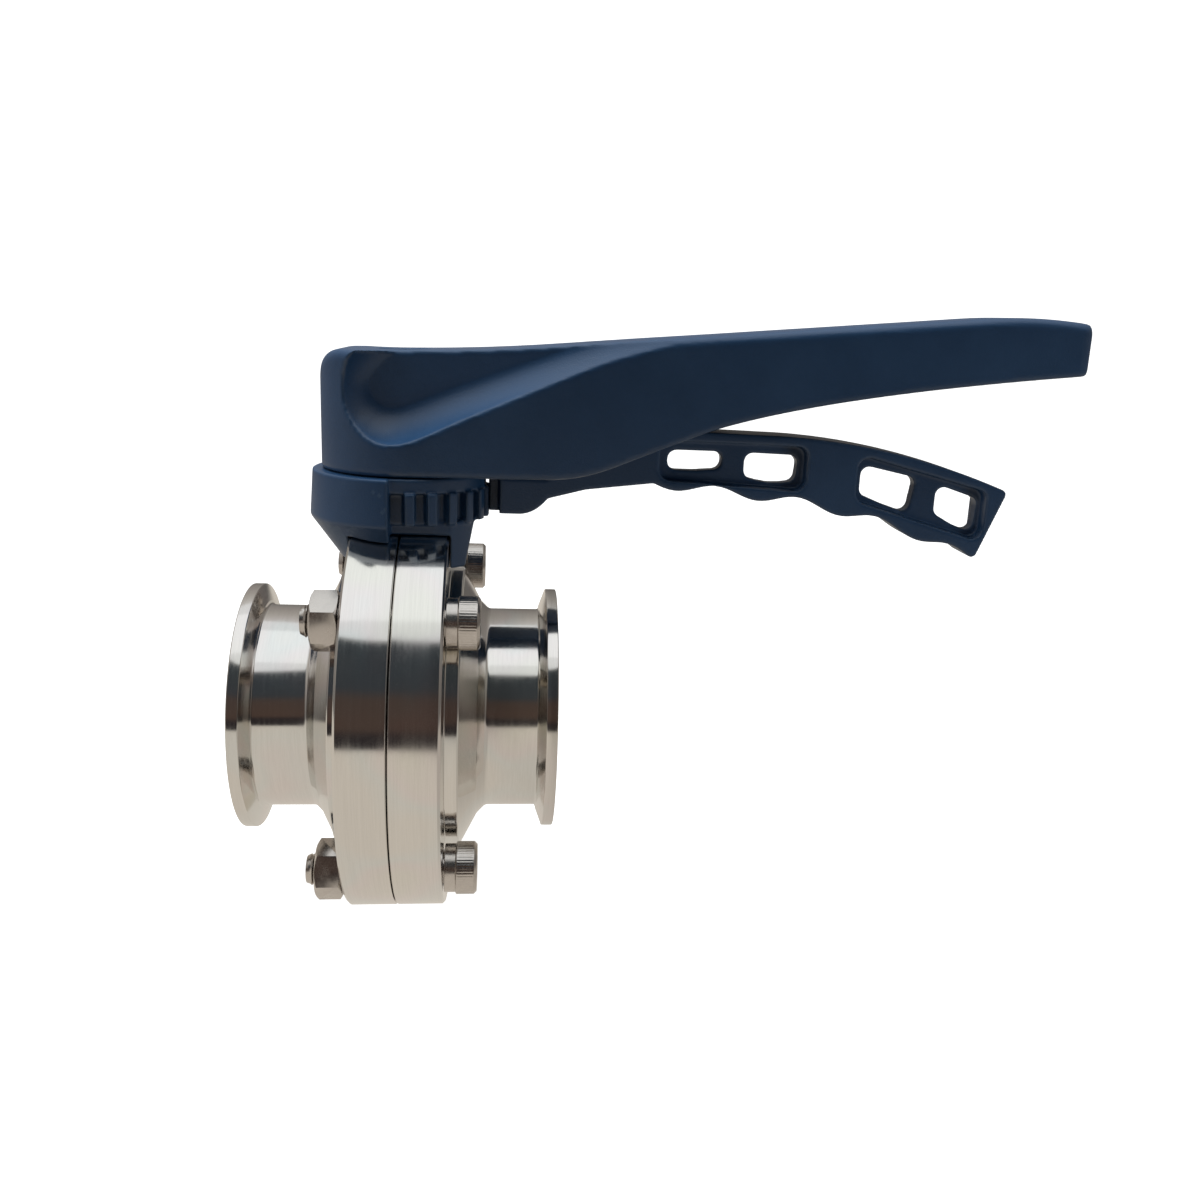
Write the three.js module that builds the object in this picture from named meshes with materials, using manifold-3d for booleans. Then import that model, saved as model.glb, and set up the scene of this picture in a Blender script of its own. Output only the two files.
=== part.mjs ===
// Hygienic clamp-end butterfly valve with a plastic squeeze-trigger lever.
// Millimetres, +Z up. X runs along the pipe, Z along the stem.
// The origin is where the pipe axis meets the stem axis; the handle lies over +X with the valve open.

import * as THREE from "three";
import { mergeVertices } from "three/addons/utils/BufferGeometryUtils.js";
import Module from "manifold-3d";

const wasm = await Module();
wasm.setup();

// ---- driving dimensions ----------------------------------------------------

const GAP = 0.3; // clearance between touching pieces
const ROUND = 48; // facets round a large turned surface
const SMALL_ROUND = 24; // facets round a small turned surface
const MERGE = 1e-4; // points closer than this are one point
const OVERCUT = 1; // how far a cutter runs past the face that it opens
const TOP_STEPS = 10; // straight pieces in a long curved edge
const WAVE_STEPS = 29; // straight pieces along the trigger's finger waves

// pipe ends
const BORE_R = 25;
const TUBE_WALL = 1.5;
const FACE_TO_FACE = 79.2;
const FERRULE_LIP = 5.5; // the ferrule's rim stands this far off the tube
const FERRULE_RIM = 2.85;
const FERRULE_SLOPE = THREE.MathUtils.degToRad(20);
const FERRULE_NECK = 2.2; // fillet between the ferrule's back and the tube
const GROOVE_IN = 1.75; // middle of the gasket groove, outside the tube's own radius
const GROOVE_HALF = 1.6;
const GROOVE_DEPTH = 1.5;

// flanges
const FLANGE_R = 52;
const FLANGE_T = 12; // from the split line to the outer face
const FLANGE_CHAMFER = 0.7;
const HUB_STEP = 3.5; // how far the raised hub stands off the flange
const HUB_CONE = 5.2; // axial length of the cone from the hub down to the tube
const HUB_EDGE = 1.2; // width of the hub's edge round the cone

// screws and nuts
const HEAD_INSET = 0.5; // screw heads lie this far inside the flange's rim
const HEAD_TO_HUB = 0.9; // room between a screw head and the hub
const BOLT_R = 4;
const BOLT_CLEARANCE = 0.5;
const HEAD_R = 6.5;
const HEAD_H = 8;
const HEX_KEY = 6;
const HEX_KEY_DEPTH = 4;
const NUT_FLATS = 13;
const NUT_H = 6.5;
const BOLT_PROUD = 2.4; // bolt end past the nut
const HEAD_CHAMFER = 0.65;
const END_CHAMFER = 1.2; // at the tip of a screw

// seat
const SEAT_DEPTH = 8; // how deep the seat sits in its pocket, from the bore
const SEAT_CHEEK = 0.7; // what is left of the seat on each side of the stem
const SEAT_CROWN = 0.6; // how far the seat stands into the bore

// disc, stem and bushes
const DISC_EDGE = 1.8; // half thickness at the rim
const DISC_EDGE_FLAT = 1; // half width of the sealing edge itself
const DISC_EDGE_ROUND = 0.5;
const DISC_CENTRE = 3.4; // half thickness at the middle
const DISC_DISH = 13; // radius of the disc's thick middle
const DISC_DISH_FALL = 0.5; // what the thick middle loses towards its own edge
const STEM_R = 6;
const SQUARE_CUT = 1.25; // how far the stem's four flats lie inside its round part
const STEM_SQUARE_H = 14.5;
const STUB_LENGTH = 12; // lower stub past the seat
const BUSH_WALL = 2;
const BUSH_TOP_PROUD = 5; // the upper bush above the flange, inside the index plate
const TAP_DEPTH = 13;

// index plate
const PLATE_TOOTH_R = 21.3;
const PLATE_TOOTH_DEPTH = 2.4;
const PLATE_BAND_STEP = 0.7; // plain band above the teeth, inside their tips
const PLATE_TOOTH_H = 7.8;
const PLATE_BAND_H = 3.5;
const PLATE_RISE = 0.7; // ring's underside above the top of the flange
const TOOTH_PITCH = THREE.MathUtils.degToRad(15);
const TOOTH_SHARE = 0.42; // tooth width over pitch
const TOOTHED_STEPS = 6; // teeth on each side of the open position
const SKIRT_PROUD = 2.2; // the skirt's foot stands this far outside the teeth
const SKIRT_LEAN = 0.7; // the skirt's top is this much narrower than its foot
const SKIRT_EDGE_X = -2.2; // the skirt covers everything behind this line
const LEG_DROP = 10.5; // the foot and skirt reach this far below the top of the flange
const LEG_T = 3.5; // thickness of the foot beside the flange, at its lower end
const LEG_LEAN = 2.2; // the foot is this much thicker at the top
const LEG_HALF_Y = 16.5;

// handle
const HANDLE_HUB_R = 20.5;
const HANDLE_LENGTH = 176; // stem axis to tip
const HANDLE_HUB_H = 29.3;
const HANDLE_CORNER = 7; // rounding at the top of the hub's back
const HANDLE_FLAT = 36; // the underside is flat up to here
const TOP_RISE = 2.8; // the top edge climbs this much by the end of the flat underside
const TOP_SLOPE = 0.1073; // climb of the top edge per millimetre along the grip
const TOP_FALL_L = 30; // the top edge levels out over this length at the tip
const TOP_FALL = 0.0037; // how sharply it levels out
const NECK_SLOPE = 0.4; // climb of the underside between hub and grip
const NECK_FILLET = 8;
const NECK_RUN = 28; // length of that climb
const TIP_H = 13;
const TIP_CORNER = 1.5;
const GRIP_WALL = 4.5; // side wall where the grip begins
const GRIP_START = 78;
const TIP_WALL = 2.5; // side wall at the tip
const TIP_ROUND = 3;
const SLOT_PLAY = 1.5; // room between the trigger and each side wall
const SLOT_LEAD = 2; // the slot begins this far before the trigger's neck
const SLOT_END_WALL = 8;
const ROOF = 3.2;
const SCOOP_WALL = 3.5; // wall left between the slot and the scoop's floor
const SCOOP_DEPTH = 9.6;
const SCOOP_BLEND = 8;
// the scoop floor's lower edge: X, and how far below the handle's top edge
const SCOOP_EDGE = [
  [4.5, -4], [0.5, 0], [-2.7, 2.8], [-5.2, 6.3], [-5.6, 9.8], [-3.8, 12.7], [1.2, 14], [14.7, 8.3],
  [42, 0.3], [57, -2], [78, -3], [98, -5.4],
];
const COUNTERBORE = 18.7; // floor of the screw's counterbore, above the hub's underside
const SCREW_R = 3;
const SCREW_HEAD_R = 5;
const SCREW_HEAD_H = 6;
const SCREW_KEY = 5;
const SCREW_KEY_DEPTH = 3;
const SCREW_LENGTH = 14;
const WASHER_R = 6;
const WASHER_T = 1.6;

// trigger
const PIVOT_X = 46;
const PIVOT_H = 8.7; // above the handle's underside
const PIN_R = 2;
const PIN_BLIND = 4; // how far the pin's hole enters the closed side wall
const PIN_FAR = 7; // pin length inside the open side wall
const PIVOT_BOSS = 5.4; // radius of the trigger's back round the pin
const TRIGGER_HALF = 6;
const TRIGGER_WEB = 2; // half thickness inside the pockets
const TAIL_PLAY = 8.5; // between the trigger's end and the end of its slot
const TAIL_CORNER = 1.6;
const TAIL_UNDERCUT = 7.8; // the trigger's underside ends this far before its top
const NOSE_L = 12.3; // the nose's length under the hub, before it turns up into the handle
const NOSE_DROP = 10.4; // nose underside below the handle's underside
const NOSE_TOP = 1.3; // nose top below the handle's underside
const NOSE_FLAT = 5; // level part of the nose's underside
const NOSE_ROUND = 4;
const NOSE_LIFT = 4.2; // the underside climbs this much behind the nose
const BELLY = 3.6; // trigger underside at the pivot, below the handle's underside
const TRIGGER_ARC = 180; // radius of the trigger's long top edge
const TRIGGER_CREST = 92; // highest point of that edge
const TRIGGER_TOP = 12;
const WAVE_PITCH = 22;
const WAVE_FIRST = 69;
const WAVE_SIZE = 0.9; // half the height of a wave
const WAVE_DEPTH = 14.2; // trigger depth at the first finger wave
const WAVE_GROWTH = 0.09; // growth of that depth along the trigger

// Pockets moulded into both sides, and windows through the web between them. Places run from 0 at the
// pivot to 1 at the trigger's tail; depths are below the top edge: [start, end, depth at start, at end].
const POCKETS = [[0.165, 0.51, 12.4, 14], [0.63, 0.95, 14.6, 16]];
const WINDOWS = [
  [0.190, 0.313, 9.9, 9.6],
  [0.370, 0.493, 11.9, 12.3],
  [0.650, 0.782, 12.9, 14.7],
  [0.838, 0.938, 12.9, 14.2],
];
const POCKET_TOP = 2.2; // upper edge of the pockets, below the trigger's top edge
const WINDOW_TOP = 5;
const POCKET_ROUND = 3;
const WINDOW_ROUND = 2;

// trigger spring
const SPRING_X = 61;
const SPRING_R = 3;
const SPRING_WIRE = 0.5;
const SPRING_TURNS = 6;

// ---- derived levels ----------------------------------------------------------

const TUBE_R = BORE_R + TUBE_WALL;
const FERRULE_R = TUBE_R + FERRULE_LIP;
const GROOVE_R = TUBE_R + GROOVE_IN;
const FACE_X = FACE_TO_FACE / 2;
const HUB_X = FLANGE_T + HUB_STEP;
const BOLT_CIRCLE_R = FLANGE_R - HEAD_INSET - HEAD_R;
const BOLT_OFFSET = BOLT_CIRCLE_R * Math.SQRT1_2;
const HUB_R = BOLT_CIRCLE_R - HEAD_R - HEAD_TO_HUB;
const SEAT_R = BORE_R + SEAT_DEPTH;
const SEAT_HALF = STEM_R + GAP + SEAT_CHEEK;
const STEM_BOTTOM = SEAT_R + STUB_LENGTH;
const STEM_SQUARE = 2 * (STEM_R - SQUARE_CUT);
const PLATE_ROOT_R = PLATE_TOOTH_R - PLATE_TOOTH_DEPTH;
const PLATE_BAND_R = PLATE_TOOTH_R - PLATE_BAND_STEP;
const SKIRT_R = PLATE_TOOTH_R + SKIRT_PROUD;
const LEG_HALF_X = FLANGE_T + GAP + LEG_T;
const PLATE_Z = FLANGE_R + PLATE_RISE;
const PLATE_BAND_Z = PLATE_Z + PLATE_TOOTH_H;
const PLATE_TOP = PLATE_BAND_Z + PLATE_BAND_H;
const HANDLE_Z = PLATE_TOP + GAP;
const BUSH_R = STEM_R + GAP + BUSH_WALL;
const DISC_R = BORE_R - SEAT_CROWN - GAP;
const STEM_TOP = HANDLE_Z + STEM_SQUARE_H;
const TONGUE_TIP = PLATE_TOOTH_R + GAP;
const TONGUE_START = SKIRT_R + 2 * GAP; // the trigger's body begins outside the skirt's sweep
const TONGUE_NECK = TONGUE_START + NOSE_L;
const TRIGGER_TAIL = HANDLE_LENGTH - SLOT_END_WALL - TAIL_PLAY;
const SLOT_HALF = TRIGGER_HALF + SLOT_PLAY;
const SLOT_START = TONGUE_NECK - SLOT_LEAD;
const GRIP_HALF = SLOT_HALF + GRIP_WALL;
const TIP_HALF = SLOT_HALF + TIP_WALL;
const SCOOP_FLOOR = SLOT_HALF + SCOOP_WALL;
const BOLT_LENGTH = 2 * FLANGE_T + 2 * GAP + NUT_H + BOLT_PROUD;
const TONGUE_HALF = (TOOTH_PITCH * (1 - TOOTH_SHARE) * PLATE_ROOT_R) / 2 - GAP;

// ---- solids --------------------------------------------------------------------

// A closed three.js geometry as a manifold solid, without its zero-area triangles.
function solid(geometry) {
  const bare = geometry.clone();
  bare.deleteAttribute("normal");
  bare.deleteAttribute("uv");
  const merged = mergeVertices(bare, MERGE);
  const corners = merged.index.array;
  const kept = [];
  for (let i = 0; i < corners.length; i += 3) {
    const [a, b, c] = corners.slice(i, i + 3);
    if (a !== b && b !== c && c !== a) kept.push(a, b, c);
  }
  return new wasm.Manifold(new wasm.Mesh({
    numProp: 3,
    vertProperties: new Float32Array(merged.attributes.position.array),
    triVerts: new Uint32Array(kept),
  }));
}

function geometryOf(body) {
  const mesh = body.getMesh();
  const geometry = new THREE.BufferGeometry();
  geometry.setAttribute("position", new THREE.BufferAttribute(new Float32Array(mesh.vertProperties), 3));
  geometry.setIndex(new THREE.BufferAttribute(new Uint32Array(mesh.triVerts), 1));
  return geometry;
}

// A facet's middle lies inside the true circle, so a hole is drawn this much wider.
function holeRadius(radius, sides = SMALL_ROUND) {
  return radius / Math.cos(Math.PI / sides);
}

// Turns [radius, height] pairs about Z; the outline closes on itself and may run either way round.
function turned(outline, sides = ROUND) {
  let area = 0;
  outline.forEach(([r, h], i) => {
    const [r2, h2] = outline[(i + 1) % outline.length];
    area += r * h2 - r2 * h;
  });
  const ordered = area > 0 ? outline : [...outline].reverse();
  const points = [...ordered, ordered[0]].map(([r, h]) => new THREE.Vector2(r, h));
  return new THREE.LatheGeometry(points, sides).rotateX(Math.PI / 2);
}

// The same about X: the height runs along +X.
function turnedX(outline, sides = ROUND) {
  return turned(outline, sides).rotateY(Math.PI / 2);
}

function rod(radius, low, high, sides = SMALL_ROUND) {
  return solid(turned([[0, low], [radius, low], [radius, high], [0, high]], sides));
}

// A rod along X from low to high, its axis at the given Y and Z.
function rodX(radius, low, high, sides = SMALL_ROUND, y = 0, z = 0) {
  return solid(turnedX([[0, low], [radius, low], [radius, high], [0, high]], sides).translate(0, y, z));
}

// A rod along Y from low to high, its axis at the given X and Z.
function rodY(radius, low, high, x, z) {
  const outline = [[0, -high], [radius, -high], [radius, -low], [0, -low]];
  return solid(turned(outline, SMALL_ROUND).rotateX(Math.PI / 2).translate(x, 0, z));
}

function block(low, high) {
  const size = high.map((top, i) => top - low[i]);
  const middle = high.map((top, i) => (top + low[i]) / 2);
  return solid(new THREE.BoxGeometry(...size).translate(...middle));
}

// Extrudes an outline drawn in X and Z equally to both sides of Y = 0.
function slab(shape, halfWidth, curveSegments = 12) {
  const settings = { depth: 2 * halfWidth, bevelEnabled: false, curveSegments };
  return new THREE.ExtrudeGeometry(shape, settings).translate(0, 0, -halfWidth).rotateX(Math.PI / 2);
}

function hexagon(flats) {
  const shape = new THREE.Shape();
  for (let i = 0; i < 6; i += 1) {
    const angle = (i * Math.PI) / 3;
    const corner = flats / Math.sqrt(3);
    shape[i ? "lineTo" : "moveTo"](corner * Math.cos(angle), corner * Math.sin(angle));
  }
  shape.closePath();
  return shape;
}

// A hexagonal prism along +X from low to high, one corner towards -Y.
function hexPrismX(flats, low, high) {
  const geometry = new THREE.ExtrudeGeometry(hexagon(flats), { depth: high - low, bevelEnabled: false });
  return solid(geometry.translate(0, 0, low).rotateZ(Math.PI / 2).rotateY(Math.PI / 2));
}

// Four corners with rounded joins, as a closed path.
function roundedQuad(corners, radius) {
  const path = new THREE.Shape();
  const points = corners.map(([x, z]) => new THREE.Vector2(x, z));
  points.forEach((corner, i) => {
    const before = points[(i + 3) % 4];
    const after = points[(i + 1) % 4];
    const start = corner.clone().add(before.clone().sub(corner).setLength(radius));
    const end = corner.clone().add(after.clone().sub(corner).setLength(radius));
    path[i ? "lineTo" : "moveTo"](start.x, start.y);
    path.quadraticCurveTo(corner.x, corner.y, end.x, end.y);
  });
  path.closePath();
  return path;
}

// ---- materials -----------------------------------------------------------------

const polishedSteel = () => new THREE.MeshStandardMaterial({ color: 0xb9b2a8, roughness: 0.12, metalness: 1 });
const fastenerSteel = () => new THREE.MeshStandardMaterial({ color: 0xa9a29a, roughness: 0.28, metalness: 1 });
const bluePlastic = () => new THREE.MeshStandardMaterial({ color: 0x16263e, roughness: 0.45, metalness: 0 });
const whiteSilicone = () => new THREE.MeshStandardMaterial({ color: 0xdcd9d2, roughness: 0.55, metalness: 0 });
const bearingPlastic = () => new THREE.MeshStandardMaterial({ color: 0xe9e6df, roughness: 0.5, metalness: 0 });
const springSteel = () => new THREE.MeshStandardMaterial({ color: 0x8f8d89, roughness: 0.3, metalness: 1 });

function piece(name, body, material) {
  const mesh = new THREE.Mesh(geometryOf(body), material);
  mesh.name = name;
  return mesh;
}

// ---- valve body ------------------------------------------------------------------

// Section of one half: [radius, distance from the stem plane].
function halfSection() {
  const cone = Math.tan(FERRULE_SLOPE);
  const rimBack = FACE_X - FERRULE_RIM;
  const neckR = TUBE_R + FERRULE_NECK;
  const neckX = rimBack - (FERRULE_R - neckR) * cone;
  const coneEnd = HUB_X + HUB_CONE;
  return [
    [SEAT_R + GAP, GAP / 2],
    [FLANGE_R - FLANGE_CHAMFER / 2, GAP / 2],
    [FLANGE_R, GAP / 2 + FLANGE_CHAMFER / 2],
    [FLANGE_R, FLANGE_T - FLANGE_CHAMFER],
    [FLANGE_R - FLANGE_CHAMFER, FLANGE_T],
    [HUB_R, FLANGE_T],
    [HUB_R, HUB_X - FLANGE_CHAMFER / 2],
    [HUB_R - HUB_EDGE, HUB_X],
    [TUBE_R + FERRULE_NECK, coneEnd - FERRULE_NECK / 2],
    [TUBE_R, coneEnd + FERRULE_NECK / 2],
    [TUBE_R, neckX - FERRULE_NECK],
    [TUBE_R + FERRULE_NECK * (1 - Math.SQRT1_2), neckX - FERRULE_NECK * (1 - Math.SQRT1_2)],
    [neckR, neckX],
    [FERRULE_R, rimBack],
    [FERRULE_R, FACE_X],
    [GROOVE_R + GROOVE_HALF, FACE_X],
    [GROOVE_R + GROOVE_HALF / 2, FACE_X - GROOVE_DEPTH],
    [GROOVE_R - GROOVE_HALF / 2, FACE_X - GROOVE_DEPTH],
    [GROOVE_R - GROOVE_HALF, FACE_X],
    [BORE_R, FACE_X],
    [BORE_R, SEAT_HALF + GAP],
    [SEAT_R + GAP, SEAT_HALF + GAP],
  ];
}

function bodyHalf() {
  let half = solid(turnedX(halfSection()));
  const hole = holeRadius(BOLT_R + BOLT_CLEARANCE);
  for (const y of [-BOLT_OFFSET, BOLT_OFFSET]) {
    for (const z of [-BOLT_OFFSET, BOLT_OFFSET]) {
      half = half.subtract(rodX(hole, -OVERCUT, FLANGE_T + OVERCUT, SMALL_ROUND, y, z));
    }
  }
  const bushHole = holeRadius(BUSH_R + GAP);
  const pocketEdge = Math.sqrt(SEAT_R ** 2 - bushHole ** 2); // where the bush hole meets the seat pocket
  half = half.subtract(rod(bushHole, pocketEdge, FLANGE_R + OVERCUT));
  return half.subtract(rod(bushHole, -STEM_BOTTOM - GAP, -pocketEdge));
}

function seatRing() {
  const ring = solid(turnedX([
    [BORE_R, -SEAT_HALF],
    [SEAT_R, -SEAT_HALF],
    [SEAT_R, SEAT_HALF],
    [BORE_R, SEAT_HALF],
    [BORE_R - SEAT_CROWN, SEAT_HALF / 3],
    [BORE_R - SEAT_CROWN, -SEAT_HALF / 3],
  ]));
  const hole = holeRadius(STEM_R + GAP);
  return ring.subtract(rod(hole, -SEAT_R - OVERCUT, SEAT_R + OVERCUT));
}

// The disc lies in the XZ plane with the valve open; its stem runs along Z.
function discAndStem() {
  const side = [
    [DISC_R, 0],
    [DISC_R - DISC_EDGE_ROUND, DISC_EDGE_FLAT],
    [DISC_R - DISC_EDGE_ROUND - DISC_EDGE_FLAT, DISC_EDGE],
    [DISC_DISH, DISC_CENTRE - DISC_DISH_FALL],
    [0, DISC_CENTRE],
  ];
  const otherSide = side.slice(1).map(([r, y]) => [r, -y]).reverse();
  const disc = solid(turned([...otherSide, ...side]).rotateX(Math.PI / 2));
  const half = STEM_SQUARE / 2;
  const shoulder = HANDLE_Z - GAP;
  const stem = rod(STEM_R, -STEM_BOTTOM, shoulder);
  const tang = rod(STEM_R, shoulder - OVERCUT, STEM_TOP)
    .intersect(block([-half, -half, shoulder - OVERCUT], [half, half, STEM_TOP]));
  const tapped = rod(holeRadius(SCREW_R + GAP), STEM_TOP - TAP_DEPTH, STEM_TOP + OVERCUT);
  return disc.add(stem).add(tang).subtract(tapped);
}

function bush(low, high) {
  const inside = holeRadius(STEM_R + GAP);
  return solid(turned([[inside, low], [BUSH_R, low], [BUSH_R, high], [inside, high]], SMALL_ROUND));
}

// ---- screws and nuts ---------------------------------------------------------------

// Drawn along X with the underside of the head at X = 0 and the shank towards -X.
function capScrew(radius, length, headR, headH, key, keyDepth) {
  const turnedScrew = solid(turnedX([
    [0, -length],
    [radius - END_CHAMFER, -length],
    [radius, -length + END_CHAMFER],
    [radius, 0],
    [headR, 0],
    [headR, headH - HEAD_CHAMFER],
    [headR - HEAD_CHAMFER, headH],
    [0, headH],
  ], SMALL_ROUND));
  return turnedScrew.subtract(hexPrismX(key, headH - keyDepth, headH + OVERCUT));
}

// Drawn along X from 0 to its height; both ends are chamfered.
function hexNut() {
  const corner = NUT_FLATS / Math.sqrt(3);
  const chamfer = corner - NUT_FLATS / 2;
  const envelope = solid(turnedX([
    [0, 0],
    [NUT_FLATS / 2, 0],
    [corner, chamfer / 2],
    [corner, NUT_H - chamfer / 2],
    [NUT_FLATS / 2, NUT_H],
    [0, NUT_H],
  ], SMALL_ROUND));
  const hole = rodX(holeRadius(BOLT_R + GAP), -OVERCUT, NUT_H + OVERCUT);
  return hexPrismX(NUT_FLATS, 0, NUT_H).intersect(envelope).subtract(hole);
}

// ---- index plate ---------------------------------------------------------------------

// Teeth over the front half turn, plain at root radius behind.
function toothedOutline() {
  const shape = new THREE.Shape();
  const half = (TOOTH_PITCH * TOOTH_SHARE) / 2;
  const flank = half / 4;
  const at = (radius, angle) => [radius * Math.cos(angle), radius * Math.sin(angle)];
  shape.moveTo(...at(PLATE_ROOT_R, -TOOTH_PITCH * TOOTHED_STEPS));
  for (let i = -TOOTHED_STEPS; i < TOOTHED_STEPS; i += 1) {
    const middle = (i + 0.5) * TOOTH_PITCH;
    shape.lineTo(...at(PLATE_ROOT_R, middle - half - flank));
    shape.lineTo(...at(PLATE_TOOTH_R, middle - half));
    shape.lineTo(...at(PLATE_TOOTH_R, middle + half));
    shape.lineTo(...at(PLATE_ROOT_R, middle + half + flank));
  }
  const end = TOOTHED_STEPS * TOOTH_PITCH;
  shape.absarc(0, 0, PLATE_ROOT_R, end, 2 * Math.PI - end, false);
  shape.closePath();
  return shape;
}

// The foot in front of the skirt: it sits over both flanges and hangs beside the right one, narrowing downwards.
function plateFoot(legZ) {
  const shape = new THREE.Shape();
  shape.moveTo(SKIRT_EDGE_X - GAP, legZ);
  shape.lineTo(LEG_HALF_X, legZ);
  shape.lineTo(LEG_HALF_X + LEG_LEAN, PLATE_Z);
  shape.lineTo(SKIRT_EDGE_X - GAP, PLATE_Z);
  shape.closePath();
  return solid(slab(shape, LEG_HALF_Y)).intersect(rod(PLATE_BAND_R, legZ, PLATE_Z, ROUND));
}

function indexPlate() {
  const legZ = FLANGE_R - LEG_DROP;
  const ring = solid(new THREE.ExtrudeGeometry(toothedOutline(), {
    depth: PLATE_TOOTH_H,
    bevelEnabled: false,
    curveSegments: SMALL_ROUND,
  }).translate(0, 0, PLATE_Z));
  const skirt = solid(turned([
    [0, legZ],
    [LEG_HALF_X, legZ],
    [SKIRT_R, PLATE_Z - GAP],
    [SKIRT_R, PLATE_Z + OVERCUT],
    [SKIRT_R - SKIRT_LEAN, PLATE_TOP],
    [0, PLATE_TOP],
  ])).intersect(block([-SKIRT_R, -SKIRT_R, legZ], [SKIRT_EDGE_X, SKIRT_R, PLATE_TOP]));
  return ring
    .add(rod(PLATE_BAND_R, PLATE_BAND_Z, PLATE_TOP, ROUND))
    .add(skirt)
    .add(plateFoot(legZ))
    .subtract(rodX(FLANGE_R + GAP, -FLANGE_T - GAP, FLANGE_T + GAP, ROUND))
    .subtract(rod(holeRadius(BUSH_R + GAP), 0, PLATE_TOP + OVERCUT));
}

// ---- handle ----------------------------------------------------------------------------
// Heights in this section are above the underside of the handle's hub.

function handleTopAt(x) {
  const fromNeck = x - HANDLE_FLAT;
  const fromFall = Math.max(0, x - HANDLE_LENGTH + TOP_FALL_L);
  const reach = HANDLE_FLAT + HANDLE_HUB_R - HANDLE_CORNER;
  const level = (TOP_SLOPE * reach - TOP_RISE) / reach ** 2; // brings the edge down to the hub's own height
  const bend = fromNeck < 0 ? level * fromNeck ** 2 : -TOP_FALL * fromFall ** 2;
  return HANDLE_HUB_H + TOP_RISE + TOP_SLOPE * fromNeck + bend;
}

// Draws the top edge from one X to another, lowered by drop.
function drawTop(path, from, to, drop = 0) {
  for (let i = 0; i <= TOP_STEPS; i += 1) {
    const x = from + ((to - from) * i) / TOP_STEPS;
    path.lineTo(x, handleTopAt(x) - drop);
  }
}

function sideOutline() {
  const tipTop = handleTopAt(HANDLE_LENGTH);
  const tipBottom = tipTop - TIP_H;
  const bottomAt = (run) => [HANDLE_FLAT + NECK_FILLET + run, NECK_SLOPE * run];
  const shape = new THREE.Shape();
  shape.moveTo(-HANDLE_HUB_R - OVERCUT, 0);
  shape.lineTo(HANDLE_FLAT, 0);
  shape.quadraticCurveTo(...bottomAt(0), ...bottomAt(NECK_FILLET));
  shape.lineTo(...bottomAt(NECK_RUN));
  shape.quadraticCurveTo(...bottomAt(2 * NECK_RUN), HANDLE_LENGTH - TIP_CORNER, tipBottom);
  shape.quadraticCurveTo(HANDLE_LENGTH, tipBottom, HANDLE_LENGTH, tipBottom + TIP_CORNER);
  shape.lineTo(HANDLE_LENGTH, tipTop - TIP_CORNER);
  drawTop(shape, HANDLE_LENGTH - TIP_CORNER, HANDLE_CORNER - HANDLE_HUB_R);
  shape.quadraticCurveTo(-HANDLE_HUB_R, HANDLE_HUB_H, -HANDLE_HUB_R, HANDLE_HUB_H - HANDLE_CORNER);
  shape.lineTo(-HANDLE_HUB_R - OVERCUT, HANDLE_HUB_H - 2 * HANDLE_CORNER);
  shape.closePath();
  return shape;
}

function planOutline() {
  const reach = Math.hypot(GRIP_START, GRIP_HALF);
  const tangent = Math.atan2(GRIP_HALF, GRIP_START) + Math.acos(HANDLE_HUB_R / reach);
  const shape = new THREE.Shape();
  shape.moveTo(GRIP_START, -GRIP_HALF);
  shape.lineTo(HANDLE_LENGTH - TIP_ROUND, -TIP_HALF);
  shape.quadraticCurveTo(HANDLE_LENGTH, -TIP_HALF, HANDLE_LENGTH, -TIP_HALF + TIP_ROUND);
  shape.lineTo(HANDLE_LENGTH, TIP_HALF - TIP_ROUND);
  shape.quadraticCurveTo(HANDLE_LENGTH, TIP_HALF, HANDLE_LENGTH - TIP_ROUND, TIP_HALF);
  shape.lineTo(GRIP_START, GRIP_HALF);
  shape.absarc(0, 0, HANDLE_HUB_R, tangent, 2 * Math.PI - tangent, false);
  shape.closePath();
  return shape;
}

// The scoop's flat floor with its heights times up, which is -1 for the far side's outline.
function scoopFloor(up) {
  const edge = SCOOP_EDGE.map(([x, drop]) => new THREE.Vector2(x, (handleTopAt(x) - drop) * up));
  const above = (handleTopAt(HANDLE_LENGTH) + SCOOP_BLEND) * up;
  const shape = new THREE.Shape();
  shape.moveTo(edge[0].x, above);
  shape.lineTo(edge[0].x, edge[0].y);
  shape.splineThru(edge.slice(1));
  shape.lineTo(edge[edge.length - 1].x, above);
  shape.closePath();
  return shape;
}

// side is -1 for the near scoop and 1 for the far one.
function scoop(side) {
  const geometry = new THREE.ExtrudeGeometry(scoopFloor(-side), {
    depth: SCOOP_BLEND,
    bevelThickness: SCOOP_DEPTH,
    bevelSize: SCOOP_BLEND,
    bevelSegments: 4,
    curveSegments: 3,
  });
  geometry.translate(0, 0, SCOOP_DEPTH + SCOOP_FLOOR);
  return solid(geometry.rotateX((-side * Math.PI) / 2));
}

function slotOutline() {
  const shape = new THREE.Shape();
  const end = HANDLE_LENGTH - SLOT_END_WALL;
  shape.moveTo(SLOT_START, -OVERCUT);
  shape.lineTo(end, -OVERCUT);
  drawTop(shape, end, SLOT_START, ROOF);
  shape.closePath();
  return shape;
}

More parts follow.
